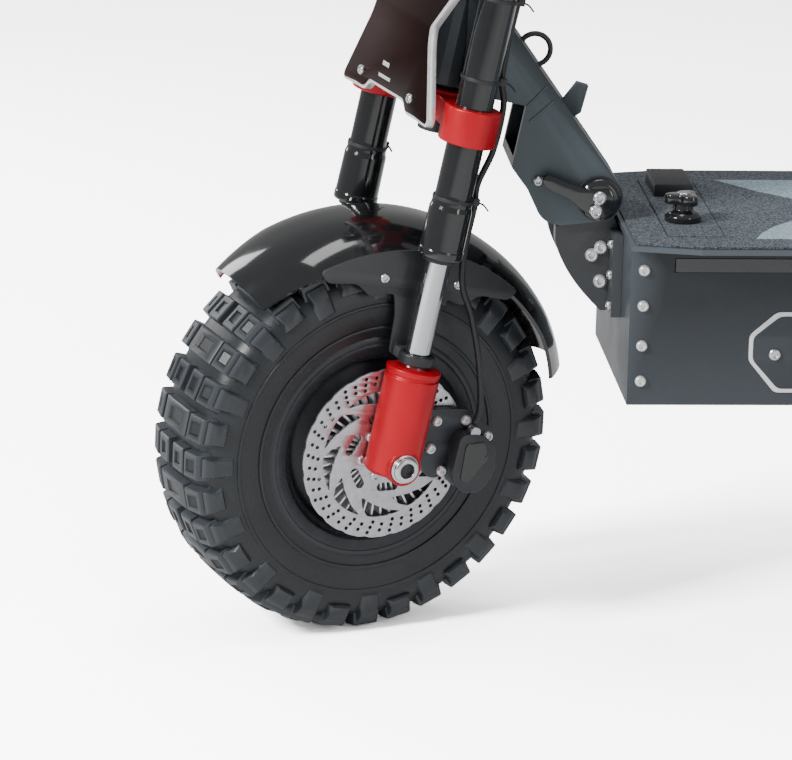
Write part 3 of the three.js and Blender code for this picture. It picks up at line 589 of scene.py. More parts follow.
def side_lug(angle, side, length, width):
    """A shoulder lug that wraps down the sidewall."""
    bm = bmesh.new()
    shape = ((47.5, 169), (50.5, 165), (53.5, 159), (55.5, 161 - length))
    inner = ((43, 161), (46, 157), (49, 151), (51.5, 158 - length))
    loops = []
    for half in (-1, 1):
        outer_ring = [bm.verts.new((half * width * (0.5 - 0.05 * i), side * y, r))
                      for i, (y, r) in enumerate(shape)]
        inner_ring = [bm.verts.new((half * width * 0.55, side * y, r)) for y, r in inner]
        loops.append((outer_ring, inner_ring))
    (oa, ia), (ob, ib) = loops
    for i in range(3):
        bm.faces.new((oa[i], oa[i + 1], ob[i + 1], ob[i]))
        bm.faces.new((ia[i], ia[i + 1], ib[i + 1], ib[i]))
        bm.faces.new((oa[i], oa[i + 1], ia[i + 1], ia[i]))
        bm.faces.new((ob[i], ob[i + 1], ib[i + 1], ib[i]))
    bm.faces.new((oa[0], ob[0], ib[0], ia[0]))
    bm.faces.new((oa[3], ob[3], ib[3], ia[3]))
    bmesh.ops.recalc_face_normals(bm, faces=bm.faces)
    bmesh.ops.bevel(bm, geom=bm.edges[:], offset=0.8, segments=1, affect="EDGES")
    return moved(bm, turn(angle, "Y"))


def tyre(name, place, body, stands_for):
    half = [(0, CARCASS_R), (18, CARCASS_R - 0.4), (30, CARCASS_R - 1.6), (40, CARCASS_R - 5),
            (48, CARCASS_R - 13), (53, CARCASS_R - 25), (54.5, CARCASS_R - 38), (53, CARCASS_R - 50),
            (50.5, CARCASS_R - 60), (49.5, 104), (50.5, 102), (50.5, 99), (48, 97.2), (45, 96.4)]
    inside = [(45, 100), (47, 112), (47, 140), (40, 158), (20, CARCASS_R - 7)]
    profile = [(r, y) for y, r in half[::-1]] + [(r, -y) for y, r in half[1:]]
    profile += [(r, -y) for y, r in inside] + [(r, y) for y, r in inside[::-1]]
    parts = [lathe(profile, 96, "Y", closed=True)]
    for side in (1, -1):
        for r, y in ((112, 52.4), (134, 54.6)):
            ridge = [(r, y - 3), (r, y + 0.5), (r + 1.6, y + 0.9), (r + 3.2, y + 0.5), (r + 3.2, y - 3)]
            parts.append(mirrored(lathe(soft(ridge, 0.4, closed=True), 96, "Y", closed=True), side))
    pitch = 360 / PITCHES
    long = TAU * TREAD_R / PITCHES
    for i in range(PITCHES):
        a = i * pitch
        b = a + pitch / 2
        middle = block(-long * 0.17, long * 0.17, -23, 23)
        parts.append(tread_block(middle, TREAD_R, a, lambda v: 0.0009 * v * v))
        for side in (1, -1):
            squares = ((a, 27, 46, 0.165), (b, 5, 24, 0.17), (b, 28, 45, 0.165))
            for angle, near, far, share in squares:
                edges = sorted((side * near, side * far))
                knob = block(-long * share, long * share, *edges)
                parts.append(tread_block(knob, TREAD_R, angle, crown_drop))
            parts.append(side_lug(a, side, 8, long * 0.31))
            parts.append(side_lug(b, side, 19, long * 0.27))
    return new_piece(name, join(*parts), place, TYRE, body, stands_for)


tyre("front_tyre_knobby", FORK, "front_wheel", ("front_tyre",))
tyre("rear_tyre_knobby", REAR, "rear_wheel", ("rear_tyre",))


# ----------------------------------------------------------------- rotor and hub
def polar(r, angle):
    return r * math.cos(math.radians(angle)), r * math.sin(math.radians(angle))


def rotor():
    """A floating-pattern brake disc: scalloped edge, drilled ring, nine swirled windows."""
    edge = []
    for i in range(240):
        angle = i * 1.5
        edge.append(polar(79.6 - 0.9 * max(0, math.cos(math.radians(angle * 20))) ** 2, angle))
    loops = [edge]
    for i in range(9):
        a = i * 40
        window = [*arc(0, 0, 60, a, a + 32, 8), polar(53, a + 40), polar(44, a + 46), polar(48, a + 30),
                  polar(55, a + 12)]
        loops.append(rounded(window, 2.2, 2))
    for i in range(6):
        cx, cy = polar(32.5, i * 60 + 10)
        oval = [*arc(6.5, 0, 4, -90, 90, 8), *arc(-6.5, 0, 4, 90, 270, 8)]
        turned = Matrix.Rotation(math.radians(i * 60 + 112), 2)
        loops.append([tuple(turned @ Vector(p) + Vector((cx, cy))) for p in oval])
        loops.append(ring(*polar(22, i * 60 + 40), 2.8, 12))
    for i in range(42):
        a = i * 360 / 42
        triple = ((65, 0), (70, 1.6), (75, 3.2)) if i % 2 else ((67.5, 0.8), (73, 2.4))
        loops += [ring(*polar(r, a + lean), 1.75, 10) for r, lean in triple]
    loops.append(ring(0, 0, 14.5, 32))
    return flat(loops, ROTOR_Y - 1.2, ROTOR_Y + 1.2, 0.25)


def rib(r0, r1, angle, y0, y1, width):
    return moved(bar(r0, r1, y0, y1, -width / 2, width / 2, 0.25, 1), turn(-angle, "Y"))


def wheel_core(prefix, place, body):
    """The motor hub, its stepped rim, the finned cover and the disc."""
    rim = soft([(88, -50), (96.3, -51.5), (99.2, -50), (99.2, -46.8), (94, -46), (90, -36), (90, 36),
                (94, 46), (99.2, 46.8), (99.2, 50), (96.3, 51.5), (88, 50), (86, 46), (82, 44), (80, 40),
                (80, -40), (82, -44), (86, -46)],
               1.0, closed=True)
    drum = soft([(0, -46), (26, -46), (30, -43), (76, -38), (81.5, -34), (81.5, 34), (76, 38), (64, 44),
                 (60, 50), (30, 52), (26, 63.5), (0, 63.5)], 1.6)
    core = join(lathe(rim, 96, "Y", closed=True), lathe(drum, 96, "Y"))
    new_piece(f"{prefix}_motor_hub", core, place, CAST_BLACK, body, (f"{prefix}_hub",))
    fins = []
    for i in range(42):
        angle = i * 360 / 42
        fins.append(rib(27, 60, angle, 50, 62.5, 2.0))
        fins.append(rib(33, 74, angle, -45.5, -38, 1.5))
    new_piece(f"{prefix}_cooling_fins", join(*fins), place, BRIGHT, body)
    new_piece(f"{prefix}_brake_disc", rotor(), place, ROTOR, body, (f"{prefix}_rotor",), sharp=25)
    spots = [polar(22, i * 60 + 40) for i in range(6)]
    new_piece(f"{prefix}_disc_bolts", bolts([(x, ROTOR_Y + 1.2, z, 1) for x, z in spots], 4.4, 2.6), place,
              STEEL, body)


wheel_core("front", FORK, "front_wheel")
wheel_core("rear", REAR, "rear_wheel")


# --------------------------------------------------------------------- the fork
def slotted_lower(side):
    """A fork lower: a turned barrel with a flat inner face and a slot round the axle nut."""
    profile = soft([(0, -11), (22, -11), (24.5, -8), (24.5, 79), (23.2, 80), (23.2, 81.5), (24.5, 82.5),
                    (24.5, 87), (17, 88.5), (0, 88.5)], 0.7)
    barrel = lathe(profile, 64)
    limit = LEG_Y - 70
    for vert in barrel.verts:
        vert.co.y = side * max(side * vert.co.y, -limit)
    moved(barrel, shift(0, side * LEG_Y, 0))
    ear = lathe(soft([(0, 10), (16, 10), (16, 23.8), (14, 24.4), (13.6, 19), (0, 19)], 0.5), 40, "Y")
    moved(ear, facing(side), shift(0, side * LEG_Y, 0))
    return join(barrel, ear)


def axle_nut(side):
    """A domed nut over a washer, with a deep hexagon socket."""
    profile = soft([(0, 20), (13.4, 20), (13.4, 25.6), (11.8, 26), (11.8, 29), (10, 30.4), (7, 30.4),
                    (6.6, 25.4), (0, 25.4)], 0.6)
    return moved(lathe(profile, 36, "Y"), facing(side), shift(0, side * (LEG_Y - 0.6), 0))


def fork_tube(side):
    """The outer tube: a fat seal head below, a groove where it tapers, and a capped top."""
    profile = soft([(0, 191), (12.2, 191), (12.6, 190), (19.6, 190), (20.2, 191.5), (20.2, 197), (19.6, 198),
                    (19.2, 234), (18, 238), (18, 241.5), (17.1, 243), (16.6, 247), (16.5, 470), (15.5, 477),
                    (8, 478.5), (0, 478.5)], 0.8)
    return moved(lathe(profile, 56), shift(0, side * LEG_Y, 0))


def zip_tie(side, s, r):
    band = moved(lathe(soft([(r, -1.6), (r + 1.1, -1.6), (r + 1.1, 1.6), (r, 1.6)], 0.3, closed=True), 40),
                 shift(0, 0, s))
    lock = bar(-r - 7, -r - 0.4, -2.6, 2.6, s - 3, s + 3.6, 0.6)
    tail = tube(smooth_path([(-r - 5, 0, s), (-r - 12, -3, s - 2), (-r - 18, -4, s - 7)], 3), 0.9, 6)
    return moved(join(band, lock, tail), turn(-14 * side, "Z"), shift(0, side * LEG_Y, 0))


def clamp_crown(s, height):
    """A crown: two leg clamps with split ears and a waisted bridge between them."""
    half = height / 2
    waist = rounded([(-24, -58), (-20, 0), (-24, 58), (-16, 74), (14, 74), (12, 58), (4, 32), (4, -32),
                     (12, -58), (14, -74), (-16, -74)], 12)
    parts = [sheet_z([waist], s - half + 5, s + half - 5, 1.6),
             moved(boss(26, 15.2, half - 2), shift(-14, 0, s))]
    for side in (1, -1):
        parts.append(moved(boss(25.4, 16.7, half), shift(0, side * LEG_Y, s)))
    return join(*parts)


def boss(outer, inner, half):
    return lathe(soft([(inner, -half), (outer - 1, -half), (outer, 1 - half), (outer, half - 1),
                       (outer - 1, half), (inner, half)],
                      0.8, closed=True), 64)


def build_fork():
    for label, side in SIDES:
        new_piece(f"fork_lower_{label}_turned", slotted_lower(side), FORK, RED, "fork_slider",
                  (f"fork_lower_{label}",))
        slider = lathe(soft([(0, 60), (11.4, 60), (11.4, 388), (0, 388)], 0.8), 48)
        moved(slider, shift(0, side * LEG_Y, 0))
        new_piece(f"fork_stanchion_{label}", slider, FORK, CHROME, "fork_slider",
                  (f"stanchion_{label}",))
        new_piece(f"fork_outer_{label}", fork_tube(side), FORK, GLOSS_BLACK, "steering",
                  (f"fork_tube_{label}",), sharp=25)
        ties = join(*[zip_tie(side, s, r) for s, r in ((243, 17.2), (352, 16.6), (424, 16.6))])
        new_piece(f"cable_ties_{label}", ties, FORK, PLASTIC, "steering")
        dust_lip = moved(boss(14.5, 11.9, 2.4), shift(0, side * LEG_Y, 187.8))
        new_piece(f"dust_wiper_{label}", dust_lip, FORK, RUBBER, "steering")
        new_piece(f"front_axle_nut_{label}", axle_nut(side), FORK, STEEL, "fork_slider")
        plug = lathe(soft([(0, 25), (6.2, 25), (6.2, 26.2), (0, 26.2)], 0.2), 24, "Y")
        moved(plug, facing(side), shift(0, side * (LEG_Y - 0.6), 0))
        new_piece(f"front_axle_plug_{label}", plug, FORK, SATIN_BLACK, "fork_slider")
    rod = lathe(soft([(0, -90), (7.8, -90), (7.8, 90), (0, 90)], 0.8), 32, "Y")
    new_piece("front_axle_rod", rod, FORK, STEEL, "fork_slider", ("front_axle",))
    for place, s, height in (("lower", CROWN_S, 32), ("upper", UPPER_CROWN_S, 26)):
        new_piece(f"{place}_crown_machined", clamp_crown(s, height), FORK, RED, "steering",
                  (f"{place}_crown",))
    spots = [shift(-24.6, y, s) for s in (CROWN_S, UPPER_CROWN_S) for y in (52, -52)]
    pinch = copies(lambda: moved(bolt(4, 3), turn(90, "Z")), spots)
    new_piece("crown_bolts", pinch, FORK, STEEL, "steering")


# --------------------------------------------------------------- the shield plate
PLATE_X = 36


def shield_outline(inset):
    """Half of the shield's outline, mirrored: two pointed feet, a waist, and shoulders."""
    half = [(33, 312), (40, 303), (57, 303), (82, 302), (84, 309), (57, 371), (54, 384), (85, 425),
            (80, 448), (58, 459)]
    points = [(-y, z) for y, z in half[::-1]] + half
    middle = Vector((0, 378))
    shrunk = []
    for i, (y, z) in enumerate(points):
        a, b = Vector(points[i - 1]), Vector(points[(i + 1) % len(points)])
        here = Vector((y, z))
        inward = ((here - a).normalized().orthogonal() + (b - here).normalized().orthogonal())
        if inward.dot(middle - here) < 0:
            inward.negate()
        shrunk.append(tuple(here + inward.normalized() * inset))
    return rounded(shrunk, 5 - inset * 0.5, 3)


def build_shield():
    back = sheet_x([shield_outline(0)], PLATE_X - 2.5, PLATE_X + 5, 1.2)
    new_piece("shield_rim", back, FORK, BRIGHT, "steering", ("front_plate",))
    face = sheet_x([shield_outline(3.4)], PLATE_X + 4.2, PLATE_X + 6.6, 0.5)
    new_piece("shield_face", face, FORK, PLATE_FACE, "steering")
    spans = ((-17, 5, 322, 325), (-14, -2, 333, 337))
    marks = [bar(PLATE_X + 6.4, PLATE_X + 6.9, *span, 0.2, 1) for span in spans]
    new_piece("shield_accent_bars", join(*marks), FORK, BRIGHT, "steering")
    heads = copies(lambda: moved(bolt(4.6, 3.2), turn(-90, "Z")),
                   [shift(PLATE_X + 6.6, y, s) for y, s in ((48, 319), (-48, 319), (48, 440), (-48, 440))])
    posts = copies(lambda: lathe([(0, -15), (4, -15), (4, 1), (0, 1)], 20, "X"),
                   [shift(PLATE_X, y, s) for y, s in ((48, 316), (-48, 316), (48, 458), (-48, 458))])
    new_piece("shield_bolts", heads, FORK, STEEL, "steering")
    new_piece("shield_standoffs", posts, FORK, SATIN_BLACK, "steering")


# ------------------------------------------------------------------- the fenders
def fender_shell(start, end, crest=207.5, half_width=62):
    """A crowned mudguard with tapered ends, from one angle round the wheel to another."""
    across = 24
    along = 56
    bm = bmesh.new()

    def section(t, r_shift):
        taper = 1 - 0.22 * max(0, abs(t - 0.5) * 2 - 0.72) / 0.28
        shares = [2 * i / across - 1 for i in range(across + 1)]
        return [(crest - 25 * abs(u) ** 2.6 + r_shift, u * half_width * taper) for u in shares]

    rings = []
    for i in range(along + 1):
        t = i / along
        angle = math.radians(start + (end - start) * t)
        outer = section(t, 0)
        inner = [(r, y * 0.97) for r, y in section(t, -2.8)][::-1]
        loop = []
        for r, y in outer + inner:
            loop.append(bm.verts.new((r * math.cos(angle), y, r * math.sin(angle))))
        rings.append(loop)
    for low, high in zip(rings, rings[1:]):
        for k in range(len(low)):
            n = (k + 1) % len(low)
            bm.faces.new((low[k], low[n], high[n], high[k]))
    for loop in (rings[0], rings[-1]):
        count = across + 1
        for k in range(across):
            bm.faces.new((loop[k], loop[k + 1], loop[2 * count - 2 - k], loop[2 * count - 1 - k]))
    return bm


def side_stay(side):
    """The bracket outside the guard: a curved strap with two screw pads and a leg down to the fork."""
    outer = arc(0, 0, 188, 58, 122, 16)
    strap = rounded([(92, 150), *outer, (-92, 150), (-62, 152), (-46, 141), (-24, 147), (-18, 128),
                     (-15, 91), (15, 91), (18, 128), (24, 147), (46, 141), (62, 152)], 5, 3)
    plate = flat([strap], 60.6, 63.8, 0.6)
    collar = moved(boss(16, 12, 5), shift(0, LEG_Y, 95.5))
    arm = bar(-12, 12, 62, 74.5, 90.6, 100.4, 1.6)
    parts = join(plate, collar, arm)
    return mirrored(parts, side)


def build_fenders():
    new_piece("front_mudguard", fender_shell(40, 155), FORK, GLOSS_BLACK, "fork_slider",
              ("front_fender",), sharp=40)
    for label, side in SIDES:
        new_piece(f"front_mudguard_stay_{label}", side_stay(side), FORK, SATIN_BLACK, "fork_slider")
    heads = [(f, side * 63.8, s, side) for _, side in SIDES for f, s in ((37, 160), (-37, 160))]
    new_piece("front_mudguard_screws", bolts(heads, 4.4, 3), FORK, STEEL, "fork_slider")
    new_piece("rear_mudguard", fender_shell(35, 168), REAR, GLOSS_BLACK, "rear_arm",
              ("rear_fender",), sharp=40)
    strap = rounded([(94, 33), (114, 36), (110, 72), (84, 168), (50, 186), (54, 170), (82, 90)], 5, 3)
    for label, side in SIDES:
        part = join(flat([strap], 60.6, 63.8, 0.6), bar(95, 112, 62, 71.4, 35, 50, 1))
        mirrored(part, side)
        new_piece(f"rear_mudguard_stay_{label}", part, REAR, SATIN_BLACK, "rear_arm")


# ------------------------------------------------------------------ the calipers
def caliper_parts(prefix, place, body, stands_for, tilt=0):
    """A two-piston caliper on its bracket, over the rear edge of the disc."""
    spin = turn(-tilt, "Y")
    shell = rounded([(-59, 30), (-80, 33), (-98, 22), (-103, -3), (-92, -23), (-73, -25), (-59, -11)], 8, 4)
    outer = moved(flat([shell], 70.4, 92, 2.2), spin)
    inner = moved(flat([shell], 55, 61.6, 1.4), spin)
    bridge = moved(bar(-101, -85, 60, 72, -12, 18, 1.5), spin)
    new_piece(f"{prefix}_caliper_body", join(outer, inner, bridge), place, CAST_BLACK, body,
              stands_for)
    pads = [rounded([(-62, 20), (-80, 24), (-84, -14), (-70, -16), (-62, -8)], 3, 2)]
    label_plate = rounded([(-66, 22), (-84, 26), (-92, 12), (-76, -14), (-68, -12)], 4, 3)
    face = moved(flat([label_plate], 91.6, 93.2, 0.4), spin)
    new_piece(f"{prefix}_caliper_cover", face, place, GLOSS_BLACK, body)
    friction = join(moved(flat(pads, 62, 64.4, 0.3), spin), moved(flat(pads, 67.6, 70, 0.3), spin))
    new_piece(f"{prefix}_brake_pads", friction, place, PLASTIC, body)
    bracket = rounded([(-27, 44), (-40, 48), (-70, 50), (-101, 32), (-101, 20), (-88, 14), (-60, 4),
                       (-58, -16), (-44, -17), (-27, 2)], 6, 3)
    holes = [ring(-66, 22, 3.5, 12)]
    arm = moved(flat([bracket, *holes], 70.8, 76, 0.8), spin)
    new_piece(f"{prefix}_caliper_bracket", arm, place, BOX_PAINT, body)
    spots = [(-40, 37, 76), (-40, 11, 76), (-56, -9, 76), (-69, 40, 76), (-95, 26.5, 76)]
    heads = moved(bolts([(x, y, z, 1) for x, z, y in spots], 4.8, 4.4), spin)
    new_piece(f"{prefix}_caliper_bolts", heads, place, BRIGHT, body)
    banjo = lathe(soft([(0, 0), (6, 0), (6, 3), (5, 7), (0, 7)], 0.5), 20, "Y")
    moved(banjo, shift(-74, 84, 33), spin)
    new_piece(f"{prefix}_banjo", banjo, place, ALLOY, body)


build_fork()
build_shield()
build_fenders()
caliper_parts("front", FORK, "fork_slider", ("front_caliper",))
caliper_parts("rear", REAR, "rear_arm", ("rear_caliper",), tilt=-58)


# --------------------------------------------------------------- neck and hinge
STEM = FORK @ shift(-STEERING_OFFSET, 0, 0)


def front(u):
    """X of a point measured back from the front axle."""
    return FRONT_X - u


def carry(name, mat):
    """Keeps a CAD solid as it is and gives it a surface."""
    obj = frame["nodes"][name]
    obj.data.materials.clear()
    obj.data.materials.append(mat)


def crease(a, b, side):
    """A pressed fold line on the neck's side, as a low rounded rib."""
    start, end = Vector((front(a[0]), side * 45, a[1])), Vector((front(b[0]), side * 45, b[1]))
    path = [start, start.lerp(end, 0.03), start.lerp(end, 0.97), end]
    return tube(path, lambda t: 1.2 if 0 < t < 1 else 0.4, 10)


def build_neck():
    carry("neck_frame", NECK_PAINT)
    carry("hinge_base", SATIN_BLACK)
    folds = (((147, 485.5), (165, 504)), ((150, 472), (172, 491.5)))
    ribs = [crease(a, b, side) for side in (1, -1) for a, b in folds]
    new_piece("neck_fold_lines", join(*ribs), DECK, NECK_PAINT, "neck")
    discs = [moved(lathe(soft([(0, 0), (20.4, 0), (20.4, 1.0), (19, 1.5), (0, 1.5)], 0.4), 48, "Y"),
                   facing(side), shift(PIVOT[0], side * 45.1, PIVOT[1])) for side in (1, -1)]
    new_piece("pivot_washers", join(*discs), DECK, BOX_PAINT, "neck")
    stops = bolts([(front(159), side * 45, 419, side) for side in (1, -1)], 4.6, 4.5)
    new_piece("neck_stop_bolts", stops, DECK, STEEL, "neck")
    pin = lathe(soft([(0, -48.5), (11, -48.5), (11, -46.8), (7, -46.6), (7, 46), (0, 46)], 0.4), 32, "Y")
    new_piece("fold_pivot_pin", moved(pin, shift(PIVOT[0], 0, PIVOT[1])), DECK, STEEL, "deck",
              ("fold_pin",))
    lever = rounded([(-12, -12), (8, -14), (14, 0), (9, 12), (-8, 10), (-30, 17), (-48, 25), (-53, 18),
                     (-47, 10), (-28, 2)], 7, 4)
    lever = [(-u, v) for u, v in lever]
    arm = moved(flat([lever], 50, 58, 2.2), shift(PIVOT[0], 0, PIVOT[1]))
    cam = lathe(soft([(0, 46.8), (17, 46.8), (19, 48.5), (19, 53), (15, 56), (0, 56)], 1.2), 44, "Y")
    moved(cam, shift(PIVOT[0], 0, PIVOT[1]))
    new_piece("fold_cam_lever", join(arm, cam), DECK, GLOSS_BLACK, "fold_handle",
              ("fold_lever",))
    caps = [moved(bolt(6.4, 4.6), shift(PIVOT[0] + dx, 57.6, PIVOT[1] + dz)) for dx, dz in ((1, 3), (4, -9))]
    new_piece("fold_lever_screws", join(*caps), DECK, STEEL, "fold_handle")
    centre = Vector((front(157.5), 0, 528))
    loop = [centre + Vector((x, 0, z)) for x, z in ring(0, 0, 14, 40)]
    new_piece("latch_pull_ring", tube(loop, 2.5, 12, loop=True), DECK, SATIN_BLACK, "latch_pull",
              ("latch_ring",))


def build_hinge():
    face = [(front(210), 36.5, 350), (front(218), 36.5, 357), (front(218), 36.5, 326)]
    spots = [(x, side * y, z, side) for x, y, z in face for side in (1, -1)]
    new_piece("hinge_bolts", bolts(spots, 6, 5), DECK, BRIGHT, "deck")
    flange = [(BOX_FRONT + 9.3, y, z) for y in (54, -54) for z in (308, 336, 364)]
    heads = copies(lambda: moved(bolt(4.6, 3.6), turn(-90, "Z")), [shift(*p) for p in flange])
    new_piece("hinge_flange_bolts", heads, DECK, STEEL, "deck")


# ------------------------------------------------------------------------- deck
def fine_sheet(points, z, thick=0.5):
    return sheet_z([points], z, z + thick, 0.1)


def build_deck():
    surfaces = {"deck_box": BOX_PAINT, "deck_plate": BOX_PAINT, "grip_mat": GRIT, "hatch_lid": GRIT,
                "battery_pack": WRAP, "motor_controller": ALLOY, "charge_port": PLASTIC,
                "rear_footrest": SATIN_BLACK, "tail_light": RED_LENS,
                "side_light_left": STRIP, "side_light_right": STRIP}
    for name, mat in surfaces.items():
        carry(name, mat)
    swooshes = {
        "right": ((338, 108), (352, 88), (372, 62), (399, 36), (430, 26), (760, 26), (786, 62), (800, 108)),
        "left": ((344, 119), (352, 98), (366, 74), (386, 51), (410, 36), (440, 28), (760, 28), (786, 66),
                 (800, 119)),
    }
    for label, side in SIDES:
        points = [(front(u), side * v) for u, v in swooshes[label]]
        new_piece(f"deck_stripe_{label}", fine_sheet(points, MAT_TOP), DECK, DECAL, "deck")
    screws = [(x, side * BOX_HALF, z, side) for x in (front(246.5), BOX_REAR + 12) for side in (1, -1)
              for z in (357, 325, 289, 257)]
    new_piece("deck_side_screws", bolts(screws, 5, 3.6), DECK, BRIGHT, "deck")
    plate = [(front(341), 276), (front(341), 299), (front(365), 320), (front(520), 320), (front(544), 299),
             (front(544), 276), (front(520), 247), (front(365), 247)]
    for label, side in SIDES:
        border = moved(flat([rounded(plate, 4, 3)], 0.2, 1.6, 0.4), shift(0, BOX_HALF, 0))
        inner = [((x - front(442.5)) * 0.965 + front(442.5), (z - 283.5) * 0.9 + 283.5) for x, z in plate]
        field = moved(flat([rounded(inner, 4, 3)], 1.4, 2.4, 0.3), shift(0, BOX_HALF, 0))
        studs = bolts([(front(364), BOX_HALF + 2.2, 282, 1), (front(521), BOX_HALF + 2.2, 282, 1)], 5.4, 2.8)
        for piece, part, mat in (("border", border, BRIGHT), ("field", field, BOX_PAINT),
                                 ("screws", studs, STEEL)):
            mirrored(part, side)
            new_piece(f"side_plate_{piece}_{label}", part, DECK, mat, "deck")
    rest = bar(245, 280, -103.6, -38.4, 385, 397, 1.6)
    new_piece("hatch_finger_block", rest, DECK, PLASTIC, "hatch")
    knob = [polar(13.5 + 3.4 * math.cos(math.radians(3 * angle)), angle) for angle in range(0, 360, 5)]
    body = sheet_z([knob], 401, 410, 2)
    base = lathe(soft([(0, 385.9), (16.5, 385.9), (16.5, 391), (14, 394), (9, 396), (9, 402), (0, 402)],
                      0.8), 48)
    new_piece("hatch_turn_knob", moved(join(body, base), shift(front(288), 53, 0)), DECK, GLOSS_BLACK,
              "hatch_latch", ("hatch_knob",))
    cap = lathe(soft([(0, 409.6), (6, 409.6), (6, 411), (5, 411.6), (0, 411.6)], 0.3), 28)
    new_piece("hatch_knob_cap", moved(cap, shift(front(288), 53, 0)), DECK, STEEL, "hatch_latch")


# ---------------------------------------------------------------- stem and bars
BAR_END = Vector((-26, 345, BAR_S + 32))
BAR_BEND = Vector((-4, 150, BAR_S + 28))


def bar_path(side):
    points = [(0, 0, BAR_S), (0, 30, BAR_S), (0, 50, BAR_S + 1), (0, 66, BAR_S + 7), (0, 100, BAR_S + 22),
              (-1, 122, BAR_S + 26.5), tuple(BAR_BEND), tuple(BAR_BEND.lerp(BAR_END, 0.5)), tuple(BAR_END)]
    return [(x, side * y, z) for x, y, z in points]


def grip_frame(side):
    """Y runs out along one end of the handlebar, from the bend."""
    bend = Vector((BAR_BEND.x, side * BAR_BEND.y, BAR_BEND.z))
    end = Vector((BAR_END.x, side * BAR_END.y, BAR_END.z))
    spin = Vector((0, side, 0)).rotation_difference((end - bend).normalized())
    return STEM @ Matrix.Translation(bend) @ spin.to_matrix().to_4x4()


def build_bars():
    profile = [(0, 283), (14.4, 283), (14.4, 479), (19.8, 486), (19.8, 1026), (18, 1029), (0, 1029)]
    column = lathe(soft(profile, 1), 56)
    rings = [moved(boss(21.2, 19.7, 5), shift(0, 0, s)) for s in (496, 1015)]
    clamp = join(bar(-21, 23, -31, 31, BAR_S - 23, BAR_S - 1, 3),
                 bar(-21, 23, -31, 31, BAR_S + 1, BAR_S + 19, 3))
    new_piece("stem_turned", join(column, *rings, clamp), STEM, SATIN_BLACK, "steering",
              ("stem_column",))
    spots = [shift(x, y, BAR_S + 19) for x in (-14, 16) for y in (-22, 22)]
    caps = copies(lambda: moved(bolt(4.4, 3), turn(90, "X")), spots)
    new_piece("bar_clamp_bolts", caps, STEM, STEEL, "steering")
    path = smooth_path([*bar_path(-1)[:0:-1], *bar_path(1)], 6)
    new_piece("handlebar_tube", tube(path, 10.9, 28), STEM, SATIN_BLACK, "steering",
              ("handlebar",))
    bowl = [(0, -25), (20, -25), (30.5, -8), (32.6, 18), (32.6, 23), (29.5, 23.6), (29, 18), (0, 18)]
    shell = lathe(soft(bowl, 1.2), 56, "X")
    neck = bar(-38, -14, -13, 13, -32, -17, 2.5)
    lamp = shift(STEERING_OFFSET + 54, 0, UPPER_CROWN_S + 34)
    new_piece("headlight_shell", moved(join(shell, neck), lamp), STEM, GLOSS_BLACK, "steering",
              ("headlight",))
    glass = lathe(soft([(0, 18.4), (28.6, 18.4), (28, 20.5), (16, 23), (0, 23.8)], 0.8), 48, "X")
    new_piece("headlight_lens", moved(glass, lamp), STEM, LENS, "steering")
    for label, side in SIDES:
        build_controls(label, side)


def build_controls(label, side):
    place = grip_frame(side)
    profile = [(12, 76.4), (17, 76.4), (17.4, 79), (16.8, 82)]
    for i in range(16):
        y = 86 + i * 6.3
        profile += [(15.9, y), (14.9, y + 1.4), (14.9, y + 2.6), (15.9, y + 4)]
    profile += [(17.4, 190), (17.4, 194.6), (14, 195.8), (12, 195.8)]
    grip = lathe(profile, 40, "Y", closed=True)
    new_piece(f"grip_ribbed_{label}", mirrored(grip, side), place, RUBBER, "steering",
              (f"grip_{label}",))
    perch = join(lathe(soft([(11.8, 28.5), (17.3, 28.5), (17.3, 53.5), (11.8, 53.5)], 1.4, closed=True), 44,
                       "Y"),
                 bar(12, 27, 30.5, 49.5, -5.5, 11.5, 2))
    if side > 0:
        perch = join(perch, bar(-22.5, -12, 52.5, 71.5, -23, -3, 2), bar(-22.5, -12, 52.5, 71.5, 10, 19, 2),
                     bar(-22.5, -12, 52.5, 55.2, -5, 12, 0.8), bar(-22.5, -12, 65.8, 71.5, -5, 12, 0.8),
                     bar(12, 15.5, 52.5, 71.5, -16, 16, 1.2),
                     lathe(soft([(11.8, 52.5), (15.8, 52.5), (15.8, 71.5), (11.8, 71.5)], 1, closed=True),
                           36, "Y"))
    else:
        perch = join(perch, lathe(soft([(11.8, 52.5), (18, 52.5), (18, 67.5), (11.8, 67.5)], 1.6,
                                       closed=True), 44, "Y"),
                     bar(-13, 33, 35, 61.5, 19, 39.5, 4))
    new_piece(f"control_pod_shell_{label}", mirrored(perch, side), place, PLASTIC, "steering",
              (f"control_pod_{label}",))
    blade = rounded([(29, 36), (40, 36), (52, 56), (58, 82), (58, 112), (56, 176), (50, 180), (46, 174),
                     (47, 112), (45, 84), (29, 48)], 7, 4)
    lever = sheet_z([blade], 1.0, 8.0, 2)
    pivot = moved(lathe(soft([(0, -1.2), (5, -1.2), (5, 10.6), (0, 10.6)], 0.6), 24), shift(34, 40, 0))
    new_piece(f"brake_lever_blade_{label}", mirrored(join(lever, pivot), side), place, CAST_BLACK,
              f"{label}_lever", (f"brake_lever_{label}",))
    if side > 0:
        button = bar(-26.8, -15.8, 56.4, 64.6, -0.6, 7.6, 2)
        new_piece("horn_push", button, place, RED_LENS, "horn", ("horn_button",))
    else:
        collar = lathe(soft([(12.2, 69.3), (18.8, 69.3), (18.8, 75.2), (12.2, 75.2)], 1, closed=True), 40,
                       "Y")
        paddle = join(collar, bar(-49.5, -13, 70, 91, -16.6, -9.4, 3))
        new_piece("throttle_paddle", mirrored(paddle, side), place, PLASTIC, "throttle",
                  ("throttle_trigger",))
        screen = mirrored(bar(-10, 30, 38, 58.5, 39.3, 40.2, 0.3), side)
        new_piece("display_glass", screen, place, GLOSS_BLACK, "steering")


